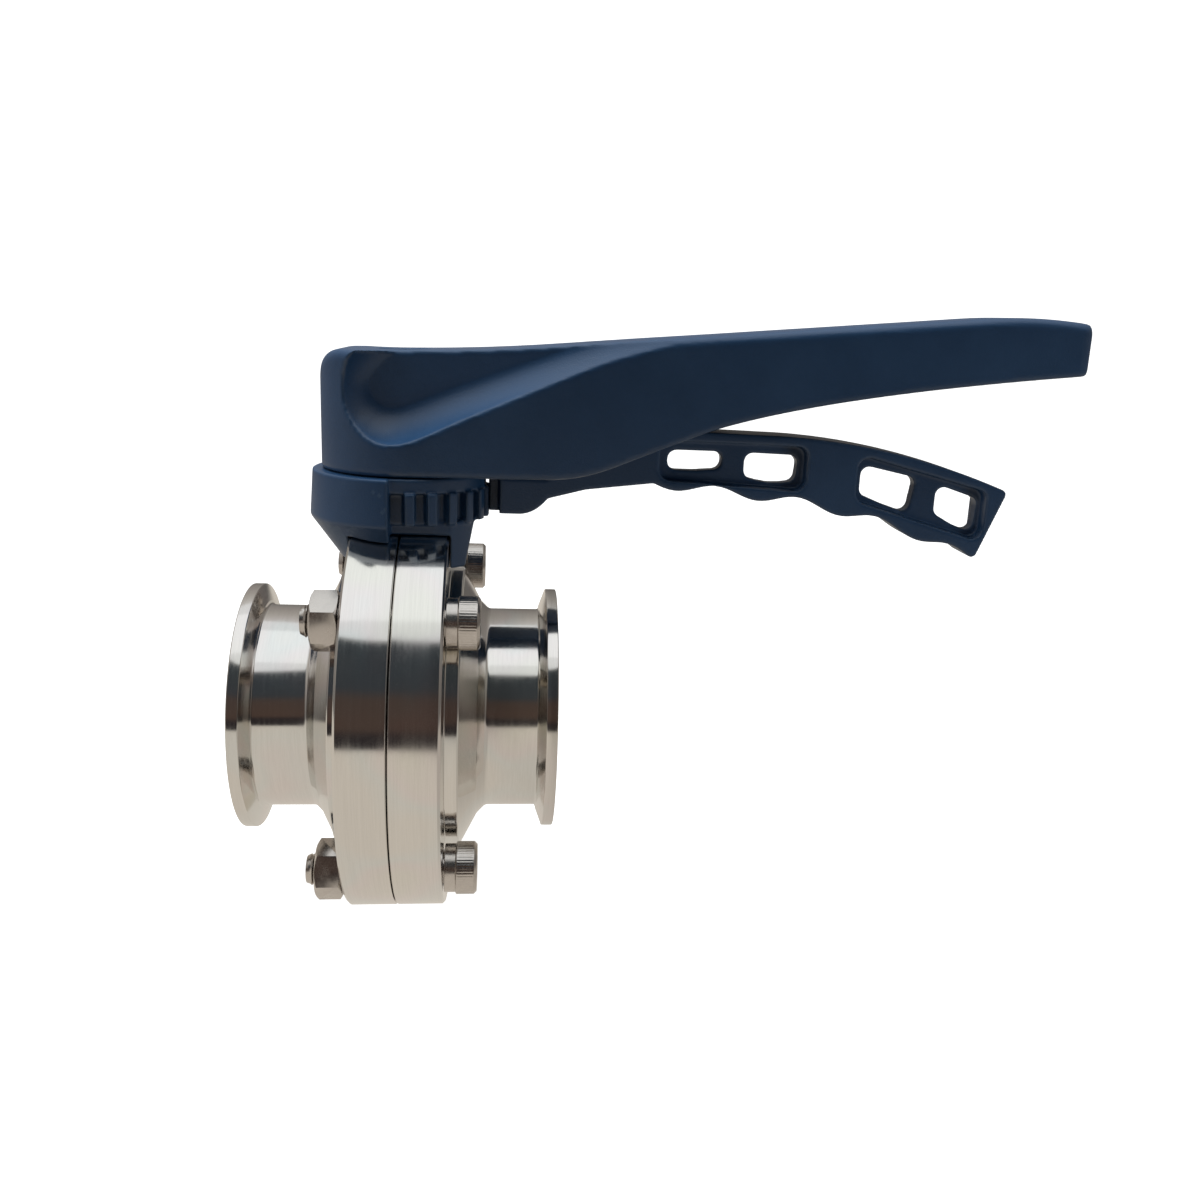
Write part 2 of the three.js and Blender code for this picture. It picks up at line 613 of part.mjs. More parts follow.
function handle() {
  const plan = solid(new THREE.ExtrudeGeometry(planOutline(), {
    depth: handleTopAt(HANDLE_LENGTH) + 4 * OVERCUT,
    bevelEnabled: false,
    curveSegments: SMALL_ROUND,
  }).translate(0, 0, -OVERCUT));
  const socket = STEM_SQUARE / 2 + GAP;
  const pinHole = holeRadius(PIN_R + GAP);
  return plan.intersect(solid(slab(sideOutline(), HANDLE_HUB_R + OVERCUT)))
    .subtract(scoop(-1))
    .subtract(scoop(1))
    .subtract(solid(slab(slotOutline(), SLOT_HALF)))
    .subtract(block([-socket, -socket, -OVERCUT], [socket, socket, STEM_SQUARE_H + GAP]))
    .subtract(rod(holeRadius(SCREW_R + GAP), 0, COUNTERBORE + OVERCUT))
    .subtract(rod(holeRadius(WASHER_R + GAP), COUNTERBORE, HANDLE_HUB_H + 2 * OVERCUT))
    .subtract(rodY(pinHole, -SLOT_HALF - PIN_BLIND, HANDLE_HUB_R, PIVOT_X, PIVOT_H));
}

function screwWasher() {
  const inside = holeRadius(SCREW_R + GAP);
  return solid(turned([[inside, 0], [WASHER_R, 0], [WASHER_R, WASHER_T], [inside, WASHER_T]], SMALL_ROUND));
}

// ---- trigger ---------------------------------------------------------------------------
// Drawn in the handle's frame and then moved, so that its own origin is on the pivot.

function triggerTopAt(x) {
  const past = Math.max(0, x - TRIGGER_CREST);
  return TRIGGER_TOP - past ** 2 / (2 * TRIGGER_ARC);
}

function triggerBottomAt(x) {
  const wave = WAVE_SIZE * Math.cos((2 * Math.PI * (x - WAVE_FIRST)) / WAVE_PITCH);
  return triggerTopAt(x) - WAVE_DEPTH - WAVE_GROWTH * (x - WAVE_FIRST) - wave;
}

function triggerOutline() {
  const tailBottom = TRIGGER_TAIL - TAIL_UNDERCUT;
  const noseEnd = TONGUE_START + NOSE_FLAT;
  const firstWave = WAVE_FIRST - WAVE_PITCH / 4;
  const lastWave = tailBottom - TAIL_CORNER;
  const roundEnd = TRIGGER_TAIL - TAIL_CORNER;
  const shape = new THREE.Shape();
  shape.moveTo(TONGUE_START, -NOSE_DROP);
  shape.lineTo(noseEnd, -NOSE_DROP);
  shape.quadraticCurveTo(noseEnd + NOSE_ROUND, -NOSE_DROP, TONGUE_NECK, -NOSE_DROP + NOSE_LIFT);
  shape.lineTo(PIVOT_X, -BELLY);
  for (let i = 0; i <= WAVE_STEPS; i += 1) {
    const x = firstWave + ((lastWave - firstWave) * i) / WAVE_STEPS;
    shape.lineTo(x, triggerBottomAt(x));
  }
  const tailZ = triggerBottomAt(tailBottom);
  shape.quadraticCurveTo(tailBottom, tailZ, tailBottom, tailZ + TAIL_CORNER);
  shape.lineTo(TRIGGER_TAIL, triggerTopAt(TRIGGER_TAIL) - TAIL_CORNER);
  shape.quadraticCurveTo(TRIGGER_TAIL, triggerTopAt(TRIGGER_TAIL), roundEnd, triggerTopAt(roundEnd));
  for (let i = 1; i <= TOP_STEPS; i += 1) {
    const x = roundEnd + ((TRIGGER_CREST - roundEnd) * i) / TOP_STEPS;
    shape.lineTo(x, triggerTopAt(x));
  }
  shape.absarc(PIVOT_X, PIVOT_H, PIVOT_BOSS, Math.PI / 4, Math.PI, false);
  shape.lineTo(TONGUE_NECK, -NOSE_TOP);
  shape.lineTo(TONGUE_START, -NOSE_TOP);
  shape.closePath();
  return shape;
}

// An opening in the trigger's side, its upper edge a set distance below the top edge.
function opening([start, end, frontDepth, backDepth], top, rounding) {
  const at = (share, depth) => {
    const x = PIVOT_X + share * (TRIGGER_TAIL - PIVOT_X);
    return [x, triggerTopAt(x) - depth];
  };
  return roundedQuad([at(start, top), at(end, top), at(end, backDepth), at(start, frontDepth)], rounding);
}

function trigger() {
  let body = solid(slab(triggerOutline(), TRIGGER_HALF));
  const pocketDepth = TRIGGER_HALF - TRIGGER_WEB;
  for (const pocket of POCKETS) {
    for (const side of [-1, 1]) {
      const cutter = slab(opening(pocket, POCKET_TOP, POCKET_ROUND), pocketDepth, 4);
      body = body.subtract(solid(cutter.translate(0, side * TRIGGER_HALF, 0)));
    }
  }
  for (const window of WINDOWS) {
    body = body.subtract(solid(slab(opening(window, WINDOW_TOP, WINDOW_ROUND), TRIGGER_HALF, 4)));
  }
  return body
    .add(block([TONGUE_TIP, -TONGUE_HALF, -NOSE_DROP], [TONGUE_START + OVERCUT, TONGUE_HALF, -NOSE_TOP]))
    .subtract(rodY(holeRadius(PIN_R + GAP), -SLOT_HALF, SLOT_HALF, PIVOT_X, PIVOT_H));
}

// Moves a finished part's points so that its origin is on the pivot.
function aboutPivot(mesh) {
  mesh.geometry.translate(-PIVOT_X, 0, -PIVOT_H);
  return mesh;
}

function pivotPin() {
  const length = 2 * SLOT_HALF + PIN_BLIND - GAP + PIN_FAR;
  return solid(turned([
    [0, 0],
    [PIN_R - GAP, 0],
    [PIN_R, GAP],
    [PIN_R, length - GAP],
    [PIN_R - GAP, length],
    [0, length],
  ], SMALL_ROUND));
}

class Helix extends THREE.Curve {
  constructor(radius, height, turns) {
    super();
    Object.assign(this, { radius, height, turns });
  }

  getPoint(t, target = new THREE.Vector3()) {
    const angle = 2 * Math.PI * this.turns * t;
    return target.set(this.radius * Math.cos(angle), this.radius * Math.sin(angle), this.height * t);
  }
}

function triggerSpring(height) {
  const section = new THREE.Shape();
  section.absarc(0, 0, SPRING_WIRE, 0, 2 * Math.PI, false);
  const coil = new Helix(SPRING_R, height - 2 * SPRING_WIRE, SPRING_TURNS);
  return solid(new THREE.ExtrudeGeometry(section, {
    steps: SPRING_TURNS * 12,
    extrudePath: coil,
    curveSegments: 3,
  }).translate(0, 0, SPRING_WIRE));
}

// ---- assembly ----------------------------------------------------------------------------

const valve = new THREE.Group();

const halfGeometry = bodyHalf();
const rightHalf = piece("body_half_right", halfGeometry, polishedSteel());
const leftHalf = piece("body_half_left", halfGeometry, polishedSteel());
leftHalf.rotation.z = Math.PI;
valve.add(rightHalf, leftHalf);

valve.add(piece("seat_ring", seatRing(), whiteSilicone()));
valve.add(piece("upper_bush", bush(SEAT_R + GAP, FLANGE_R + BUSH_TOP_PROUD), bearingPlastic()));
valve.add(piece("lower_bush", bush(-STEM_BOTTOM, -SEAT_R - GAP), bearingPlastic()));

const screwBody = capScrew(BOLT_R, BOLT_LENGTH, HEAD_R, HEAD_H, HEX_KEY, HEX_KEY_DEPTH);
const nutBody = hexNut();
const corners = [["front_top", -1, 1], ["front_bottom", -1, -1], ["back_top", 1, 1], ["back_bottom", 1, -1]];
for (const [place, y, z] of corners) {
  const screw = piece(`cap_screw_${place}`, screwBody, fastenerSteel());
  screw.position.set(FLANGE_T + GAP, y * BOLT_OFFSET, z * BOLT_OFFSET);
  const nut = piece(`nut_${place}`, nutBody, fastenerSteel());
  nut.position.set(-FLANGE_T - GAP - NUT_H, y * BOLT_OFFSET, z * BOLT_OFFSET);
  valve.add(screw, nut);
}

valve.add(piece("index_plate", indexPlate(), bluePlastic()));

const rotor = new THREE.Group();
rotor.add(piece("disc_and_stem", discAndStem(), polishedSteel()));

const lever = new THREE.Group();
lever.position.z = HANDLE_Z;
lever.add(piece("handle", handle(), bluePlastic()));

const washer = piece("handle_washer", screwWasher(), fastenerSteel());
washer.position.z = COUNTERBORE + GAP;
const handleScrew = piece(
  "handle_screw",
  capScrew(SCREW_R, SCREW_LENGTH, SCREW_HEAD_R, SCREW_HEAD_H, SCREW_KEY, SCREW_KEY_DEPTH),
  fastenerSteel(),
);
handleScrew.position.z = COUNTERBORE + WASHER_T + 2 * GAP;
handleScrew.rotation.y = -Math.PI / 2;

const pin = piece("trigger_pin", pivotPin(), fastenerSteel());
pin.position.set(PIVOT_X, -SLOT_HALF - PIN_BLIND + GAP, PIVOT_H);
pin.rotation.x = -Math.PI / 2;

// The spring stands between the trigger's back and the roof of the handle's slot.
const springRoof = handleTopAt(SPRING_X - SPRING_R - SPRING_WIRE) - ROOF;
const springHeight = springRoof - TRIGGER_TOP - 2 * GAP;
const spring = piece("trigger_spring", triggerSpring(springHeight), springSteel());
spring.position.set(SPRING_X, 0, TRIGGER_TOP + GAP);
lever.add(washer, handleScrew, pin, spring);

const squeeze = new THREE.Group();
squeeze.position.set(PIVOT_X, 0, PIVOT_H);
squeeze.add(aboutPivot(piece("trigger", trigger(), bluePlastic())));
lever.add(squeeze);

rotor.add(lever);
valve.add(rotor);

export default valve;
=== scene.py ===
import math

import bmesh
import bpy
from mathutils import Matrix, Vector


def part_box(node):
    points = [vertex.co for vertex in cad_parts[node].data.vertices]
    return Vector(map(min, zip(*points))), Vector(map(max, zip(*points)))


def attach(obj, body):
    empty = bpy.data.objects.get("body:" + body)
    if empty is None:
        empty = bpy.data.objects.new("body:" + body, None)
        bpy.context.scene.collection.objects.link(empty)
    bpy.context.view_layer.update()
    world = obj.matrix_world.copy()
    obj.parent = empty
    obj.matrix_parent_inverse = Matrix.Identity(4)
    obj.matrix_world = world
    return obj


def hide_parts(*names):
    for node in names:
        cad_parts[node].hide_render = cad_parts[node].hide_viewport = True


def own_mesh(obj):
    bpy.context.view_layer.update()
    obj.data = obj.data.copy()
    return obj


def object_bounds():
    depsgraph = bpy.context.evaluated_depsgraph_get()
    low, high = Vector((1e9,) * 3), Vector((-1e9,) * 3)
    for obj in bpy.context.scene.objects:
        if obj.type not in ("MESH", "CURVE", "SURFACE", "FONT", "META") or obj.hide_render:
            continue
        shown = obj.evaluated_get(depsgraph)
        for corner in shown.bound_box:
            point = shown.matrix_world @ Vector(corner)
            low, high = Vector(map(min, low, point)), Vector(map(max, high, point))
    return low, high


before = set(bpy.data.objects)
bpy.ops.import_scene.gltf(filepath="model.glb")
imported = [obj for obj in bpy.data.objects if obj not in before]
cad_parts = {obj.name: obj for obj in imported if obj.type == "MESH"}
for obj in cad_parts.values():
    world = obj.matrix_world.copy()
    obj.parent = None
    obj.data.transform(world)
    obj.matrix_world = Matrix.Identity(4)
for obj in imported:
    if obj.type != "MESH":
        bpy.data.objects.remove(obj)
cad_low, cad_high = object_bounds()

# ---- Camera --------------------------------------------------------------------------------------
# It stands close in front of the valve, level with the handle and turned slightly towards its grip.
# It looks down, so that the tops of the flanges and the whole flank of the handle show.

MM = 0.001

camera_data = bpy.data.cameras.new("camera")
camera_data.sensor_width = 36.0
camera_data.lens = 33.93
camera_data.shift_x = -0.0345
camera_data.shift_y = 0.0042
camera = bpy.data.objects.new("camera", camera_data)
bpy.context.scene.collection.objects.link(camera)
bpy.context.scene.camera = camera

yaw, pitch, roll = (math.radians(angle) for angle in (7.3, -14.2, 2.9))
forward = Vector((math.sin(yaw) * math.cos(pitch), math.cos(yaw) * math.cos(pitch), math.sin(pitch)))
level = Vector((math.cos(yaw), -math.sin(yaw), 0))
upright = level.cross(forward)
across = level * math.cos(roll) + upright * math.sin(roll)
upward = upright * math.cos(roll) - level * math.sin(roll)
turn = Matrix((across, upward, -forward)).transposed().to_4x4()
camera.matrix_world = Matrix.Translation(Vector((25, -294, 104)) * MM) @ turn

# ---- Studio --------------------------------------------------------------------------------------
# A round floor curves up into a wall, so no view meets an edge, and both are plain white to the camera.
# The steel mirrors a warm floor, a dark wall in front of the valve and a paler one behind it. Bright air
# and one broad soft lamp lie above the wall's rim.

FLOOR_R = 0.60
SWEEP_R = 0.06
WALL_TOP = 0.90


def place(axis, along, a, b):
    """A point from its distance along an axis and its two coordinates across it."""
    return {"x": (along, a, b), "y": (a, along, b), "z": (a, b, along)}[axis]


def link(name, mesh):
    """A new object in the scene with this mesh or curve."""
    made = bpy.data.objects.new(name, mesh)
    bpy.context.scene.collection.objects.link(made)
    return made


def mesh_from(work, name):
    """A mesh from a bmesh, with its faces turned outwards."""
    bmesh.ops.recalc_face_normals(work, faces=work.faces[:])
    mesh = bpy.data.meshes.new(name)
    work.to_mesh(mesh)
    work.free()
    return mesh


def arc(centre, radius, start, end, steps):
    """Points round an arc, its angles in degrees."""
    angles = [math.radians(start + (end - start) * i / steps) for i in range(steps + 1)]
    return [(centre[0] + radius * math.cos(t), centre[1] + radius * math.sin(t)) for t in angles]


def lathe(name, outline, axis="x", steps=192, closed=True):
    """Turns (radius, distance along the axis) pairs into a solid about an axis through the origin."""
    work = bmesh.new()
    rings = []
    for radius, along in outline:
        if radius < 1e-9:
            rings.append([work.verts.new(place(axis, along, 0, 0))] * steps)
            continue
        turns = [2 * math.pi * k / steps for k in range(steps)]
        rings.append([
            work.verts.new(place(axis, along, radius * math.cos(t), radius * math.sin(t))) for t in turns
        ])
    following = rings[1:] + rings[:1] if closed else rings[1:]
    for ring, after in zip(rings, following):
        for k in range(steps):
            n = (k + 1) % steps
            corners = list(dict.fromkeys([ring[k], ring[n], after[n], after[k]]))
            if len(corners) > 2:
                work.faces.new(corners)
    return link(name, mesh_from(work, name))


def add(tree, kind, inputs=None, **settings):
    """A node with its settings, its inputs set to values or linked to sockets."""
    made = tree.nodes.new(kind)
    for key, value in settings.items():
        setattr(made, key, value)
    for key, value in (inputs or {}).items():
        if isinstance(value, bpy.types.NodeSocket):
            tree.links.new(value, made.inputs[key])
        else:
            made.inputs[key].default_value = value
    return made


def set_stops(ramp, stops):
    """Gives a colour ramp its stops: position and colour."""
    elements = ramp.color_ramp.elements
    while len(elements) < len(stops):
        elements.new(1.0)
    for element, (position, colour) in zip(elements, stops):
        element.position = position
        element.color = (*colour, 1.0)


def studio_surface():
    """White to the camera; to every other ray a floor and wall that glow by height and bearing."""
    made = bpy.data.materials.new("studio")
    made.use_nodes = True
    tree = made.node_tree
    tree.nodes.clear()
    spot = add(tree, "ShaderNodeTexCoord").outputs["Object"]
    apart = add(tree, "ShaderNodeSeparateXYZ", {0: spot}).outputs
    height = apart["Z"]
    share = add(tree, "ShaderNodeMapRange", {
        "Value": height, "From Min": cad_low.z, "From Max": WALL_TOP,
    }).outputs["Result"]
    wall = add(tree, "ShaderNodeValToRGB", {0: share})
    set_stops(wall, [
        (0.000, (0.640, 0.590, 0.520)),
        (0.003, (0.640, 0.590, 0.520)),
        (0.008, (0.024, 0.020, 0.021)),
        (0.090, (0.026, 0.021, 0.022)),
        (0.130, (0.076, 0.050, 0.040)),
        (0.330, (0.070, 0.050, 0.042)),
        (0.410, (0.042, 0.047, 0.053)),
        (0.930, (0.044, 0.053, 0.060)),
        (1.000, (0.400, 0.400, 0.390)),
    ])
    backdrop = add(tree, "ShaderNodeValToRGB", {0: share})
    set_stops(backdrop, [
        (0.000, (0.640, 0.590, 0.520)),
        (0.010, (0.500, 0.460, 0.410)),
        (0.030, (0.170, 0.155, 0.145)),
        (0.200, (0.260, 0.240, 0.220)),
        (0.600, (0.420, 0.400, 0.370)),
        (1.000, (0.620, 0.610, 0.590)),
    ])
    flat = add(tree, "ShaderNodeCombineXYZ", {0: apart["X"], 1: apart["Y"]})
    bearing = add(tree, "ShaderNodeVectorMath", {0: flat.outputs[0]}, operation="NORMALIZE").outputs[0]
    frontness = add(tree, "ShaderNodeVectorMath", {0: bearing, 1: (0.05, -1.0, 0.0)}, operation="DOT_PRODUCT")
    in_front = add(tree, "ShaderNodeMapRange", {
        "Value": frontness.outputs["Value"], "From Min": 0.55, "From Max": 0.85,
    }, interpolation_type="SMOOTHSTEP")
    around = add(tree, "ShaderNodeMix", {
        "Factor": in_front.outputs["Result"], 6: backdrop.outputs["Color"], 7: wall.outputs["Color"],
    }, data_type="RGBA")
    seen = add(tree, "ShaderNodeEmission", {"Color": (1.0, 1.0, 1.0, 1.0), "Strength": 0.97})
    paper = add(tree, "ShaderNodeBsdfDiffuse", {"Color": (0.45, 0.45, 0.45, 1.0)})
    to_eye = add(tree, "ShaderNodeAddShader", {0: seen.outputs[0], 1: paper.outputs[0]})
    ray = add(tree, "ShaderNodeLightPath").outputs
    dim = add(tree, "ShaderNodeMapRange", {"Value": ray["Is Diffuse Ray"], "To Min": 1.0, "To Max": 0.19})
    shadow_side = add(tree, "ShaderNodeMapRange", {
        "Value": apart["X"], "From Min": 0.01, "From Max": 0.07, "To Min": 1.0, "To Max": 0.74,
    }, interpolation_type="SMOOTHSTEP")
    glow = add(tree, "ShaderNodeMath", {0: dim.outputs[0], 1: shadow_side.outputs[0]}, operation="MULTIPLY")
    to_steel = add(tree, "ShaderNodeEmission", {"Color": around.outputs[2], "Strength": glow.outputs[0]})
    both = add(tree, "ShaderNodeMixShader", {
        0: ray["Is Camera Ray"], 1: to_steel.outputs[0], 2: to_eye.outputs[0],
    })
    add(tree, "ShaderNodeOutputMaterial", {"Surface": both.outputs[0]})
    return made


floor_z = cad_low.z
sweep = arc((FLOOR_R, floor_z + SWEEP_R), SWEEP_R, -90, 0, 10)
studio = lathe("studio", [(0, floor_z), *sweep, (FLOOR_R + SWEEP_R, WALL_TOP)], "z", 128, closed=False)
studio.data.materials.append(studio_surface())
studio.data.shade_smooth()

bpy.context.scene.view_settings.view_transform = "Standard"
world = bpy.data.worlds.new("studio air")
world.use_nodes = True
air = world.node_tree.nodes["Background"].inputs
air["Color"].default_value = (0.88, 0.91, 0.92, 1.0)
air["Strength"].default_value = 0.95
bpy.context.scene.world = world


def soft_light(name, position, target, size, energy, colour, mirrored):
    """A soft lamp; one that is not mirrored lights the plastic without showing in the steel."""
    data = bpy.data.lights.new(name, "AREA")
    data.shape = "RECTANGLE"
    data.size, data.size_y = size
    data.energy = energy
    data.color = colour
    lamp = bpy.data.objects.new(name, data)
    bpy.context.scene.collection.objects.link(lamp)
    lamp.location = position
    lamp.rotation_euler = (Vector(target) - Vector(position)).to_track_quat("-Z", "Y").to_euler()
    lamp.visible_glossy = mirrored


soft_light("overhead", (0, -0.05, 1.0), (0, 0, 0), (0.95, 0.80), 0.50, (0.93, 0.98, 1.0), True)
soft_light("key", (-0.10, 0.09, 0.95), (0, 0, 0.05), (0.35, 0.35), 8.5, (0.95, 0.98, 1.0), False)
soft_light("left_fill", (-0.55, -0.12, 0.20), (0, 0, 0.05), (0.20, 0.30), 1.2, (0.93, 0.97, 1.0), False)
soft_light("right_fill", (0.42, -0.22, 0.02), (0.14, 0, 0.08), (0.15, 0.15), 0.35, (0.95, 0.98, 1.0), False)

# ---- Body halves ---------------------------------------------------------------------------------
# Two equal halves of stainless steel, each a flange, a stepped hub, a tube and a clamp ferrule.
# They are turned from the solid and polished; four screws close them round the seat.

half_low, half_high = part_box("body_half_right")
face_x = half_high.x / MM
flange_r = half_high.z / MM
split_x = half_low.x / MM
GAP = 0.3
OVERCUT = 1.0
BORE_R = 25.0
TUBE_R = 26.5
FERRULE_R = 32.0
FERRULE_RIM = 2.85
FERRULE_ANGLE = 20
NECK_R = TUBE_R + 1.1
GROOVE_R = 28.25
GROOVE_HALF = 1.6
GROOVE_FLOOR_HALF = 0.8
GROOVE_DEPTH = 1.5
FLANGE_T = 12.0
HUB_R = 37.6
HUB_X = 15.5
HUB_EDGE_R = 36.4
CONE_END = 20.7
SEAT_R = 33.0
SEAT_HALF = 7.0
STEM_R = 6.0
BUSH_R = 8.3
BUSH_HOLE_FROM = 30.0
BOLT_HOLE_R = 4.5
BOLT_OFFSET = sum(corner.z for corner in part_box("cap_screw_back_top")) / 2 / MM


def rounded(corners, arc_step=14):
    """Rounds each (a, b, radius) corner of a closed outline with an arc."""
    points = []
    for i, (a, b, radius) in enumerate(corners):
        here = Vector((a, b))
        back = Vector(corners[i - 1][:2]) - here
        ahead = Vector(corners[(i + 1) % len(corners)][:2]) - here
        if radius <= 0 or back.length < 1e-9 or ahead.length < 1e-9:
            points.append((a, b))
            continue
        angle = back.angle(ahead)
        if angle > math.radians(179):
            points.append((a, b))
            continue
        reach = min(radius / math.tan(angle / 2), 0.48 * back.length, 0.48 * ahead.length)
        radius = reach * math.tan(angle / 2)
        centre = here + (back.normalized() + ahead.normalized()).normalized() * (radius / math.sin(angle / 2))
        start = here + back.normalized() * reach - centre
        sweep_angle = start.angle_signed(here + ahead.normalized() * reach - centre)
        steps = max(2, round(math.degrees(abs(sweep_angle)) / arc_step))
        for k in range(steps + 1):
            turned = start.copy()
            turned.rotate(Matrix.Rotation(-sweep_angle * k / steps, 2))
            points.append(tuple(centre + turned))
    return points


def in_metres(points):
    """Points given in millimetres, in metres."""
    return [tuple(value * MM for value in point) for point in points]


def prism(name, outline, axis, low, high):
    """Extrudes a closed outline, in millimetres, along an axis."""
    work = bmesh.new()
    ends = [
        [work.verts.new([value * MM for value in place(axis, along, a, b)]) for a, b in outline]
        for along in (low, high)
    ]
    work.faces.new(ends[0])
    work.faces.new(ends[1])
    for k in range(len(outline)):
        n = (k + 1) % len(outline)
        work.faces.new([ends[0][k], ends[0][n], ends[1][n], ends[1][k]])
    return link(name, mesh_from(work, name))


def drill(radius, low, high, axis="x", across=(0, 0), steps=64):
    """A cutter for a round hole, in millimetres."""
    a, b = across
    ring = arc((a, b), radius, 0, 360 * (steps - 1) / steps, steps - 1)
    return prism("cutter", ring, axis, low, high)


def settle(piece):
    """Applies a piece's modifiers to its mesh."""
    shape = piece.evaluated_get(bpy.context.evaluated_depsgraph_get())
    mesh = bpy.data.meshes.new_from_object(shape)
    piece.modifiers.clear()
    piece.data = mesh
    return piece


def carve(piece, cutters, operation="DIFFERENCE"):
    """Cuts each cutter out of a piece, or joins or intersects it, and then removes the cutter."""
    for cutter in cutters:
        step = piece.modifiers.new("carve", "BOOLEAN")
        step.operation = operation
        step.solver = "EXACT"
        step.object = cutter
        settle(piece)
        bpy.data.objects.remove(cutter)
    return piece


def finish_piece(piece, material, body, nodes, edge=32):
    """Shades a piece, gives it its material and hands it to the frame."""
    piece.data.shade_smooth()
    piece.data.set_sharp_from_angle(angle=math.radians(edge))
    piece.data.materials.clear()
    piece.data.materials.append(material)
    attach(piece, body)
    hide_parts(*nodes)


def shader_of(name, **sockets):
    """A new material with its shader's plain values set; returns both and the node tree."""
    made = bpy.data.materials.new(name)
    made.use_nodes = True
    shader = made.node_tree.nodes["Principled BSDF"]
    for socket, value in sockets.items():
        shader.inputs[socket.replace("_", " ")].default_value = value
    return made, shader, made.node_tree


def turned_steel(name, tint, shine, mark, axis="X"):
    """Polished steel with fine turning marks round an axis, faint smears and a cool cast in places."""
    made, shader, tree = shader_of(name, Metallic=1.0)
    spot = add(tree, "ShaderNodeTexCoord").outputs["Object"]
    apart = add(tree, "ShaderNodeSeparateXYZ", {0: spot})
    side = [part for part in "XYZ" if part != axis]
    off_axis = add(tree, "ShaderNodeCombineXYZ", {0: apart.outputs[side[0]], 1: apart.outputs[side[1]]})
    radius = add(tree, "ShaderNodeVectorMath", {0: off_axis.outputs[0]}, operation="LENGTH").outputs["Value"]
    around = add(tree, "ShaderNodeMath", {
        0: apart.outputs[side[0]], 1: apart.outputs[side[1]],
    }, operation="ARCTAN2").outputs[0]
    drift = add(tree, "ShaderNodeMath", {0: around, 1: 0.0012}, operation="MULTIPLY").outputs[0]
    lines = add(tree, "ShaderNodeCombineXYZ", {0: apart.outputs[axis], 1: radius, 2: drift})
    coarse = add(tree, "ShaderNodeTexNoise", {"Vector": lines.outputs[0], "Scale": 1400.0, "Detail": 3.0})
    fine = add(tree, "ShaderNodeTexNoise", {"Vector": lines.outputs[0], "Scale": 5200.0, "Detail": 2.0})
    marks = add(tree, "ShaderNodeMath", {0: coarse.outputs["Fac"], 1: fine.outputs["Fac"]}, operation="ADD")
    bump = add(tree, "ShaderNodeBump", {"Height": marks.outputs[0], "Strength": 0.5, "Distance": mark})
    tree.links.new(bump.outputs["Normal"], shader.inputs["Normal"])
    smear = add(tree, "ShaderNodeTexNoise", {"Vector": spot, "Scale": 55.0, "Detail": 4.0, "Roughness": 0.6})
    wiped = add(tree, "ShaderNodeMath", {
        0: coarse.outputs["Fac"], 1: 0.35, 2: smear.outputs["Fac"],
    }, operation="MULTIPLY_ADD")
    gloss = add(tree, "ShaderNodeMapRange", {
        "Value": wiped.outputs[0], "From Min": 0.55, "From Max": 0.85, "To Min": shine[0], "To Max": shine[1],
    })
    tree.links.new(gloss.outputs["Result"], shader.inputs["Roughness"])
    dull = add(tree, "ShaderNodeMapRange", {
        "Value": marks.outputs[0], "From Min": 0.75, "From Max": 1.2, "To Min": 0.95, "To Max": 1.0,
    })
    cast = add(tree, "ShaderNodeTexNoise", {"Vector": spot, "Scale": 42.0, "Detail": 1.0})
    shade = add(tree, "ShaderNodeValToRGB", {0: cast.outputs["Fac"]})
    red, green, blue = tint
    set_stops(shade, [
        (0.35, tint),
        (0.46, (red * 0.97, green * 1.01, blue * 1.035)),
        (0.54, (red * 1.01, green * 0.985, blue * 1.01)),
        (0.66, (red, green * 1.01, blue * 0.985)),
    ])
    dulled = add(tree, "ShaderNodeVectorMath", {
        0: shade.outputs["Color"], "Scale": dull.outputs["Result"],
    }, operation="SCALE")
    tree.links.new(dulled.outputs[0], shader.inputs["Base Color"])
    return made


polished_steel = turned_steel("polished_steel", (0.785, 0.76, 0.725), (0.09, 0.17), 2.0e-6)

rim_back = face_x - FERRULE_RIM
neck_x = rim_back - (FERRULE_R - NECK_R) * math.tan(math.radians(FERRULE_ANGLE))
half_outline = rounded([
    (SEAT_R + GAP, split_x, 0.2),
    (flange_r - 0.25, split_x, 0.1),
    (flange_r, split_x + 0.25, 0.1),
    (flange_r, FLANGE_T - 0.6, 0.15),
    (flange_r - 0.6, FLANGE_T, 0.15),
    (HUB_R, FLANGE_T, 0.3),
    (HUB_R, HUB_X - 0.4, 0.15),
    (HUB_R - 0.4, HUB_X, 0.15),
    (HUB_EDGE_R, HUB_X, 0.3),
    (TUBE_R + 2.2, CONE_END - 1.1, 1.4),
    (TUBE_R, CONE_END + 1.1, 1.6),
    (TUBE_R, neck_x - 0.2, 2.0),
    (NECK_R, neck_x, 1.2),
    (FERRULE_R, rim_back, 0.35),
    (FERRULE_R, face_x, 0.3),
    (GROOVE_R + GROOVE_HALF, face_x, 0.15),
    (GROOVE_R + GROOVE_FLOOR_HALF, face_x - GROOVE_DEPTH, 0.6),
    (GROOVE_R - GROOVE_FLOOR_HALF, face_x - GROOVE_DEPTH, 0.6),
    (GROOVE_R - GROOVE_HALF, face_x, 0.15),
    (BORE_R, face_x, 0.25),
    (BORE_R, SEAT_HALF + GAP, 0.2),
    (SEAT_R + GAP, SEAT_HALF + GAP, 0.4),
])
bush_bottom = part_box("lower_bush")[0].z / MM
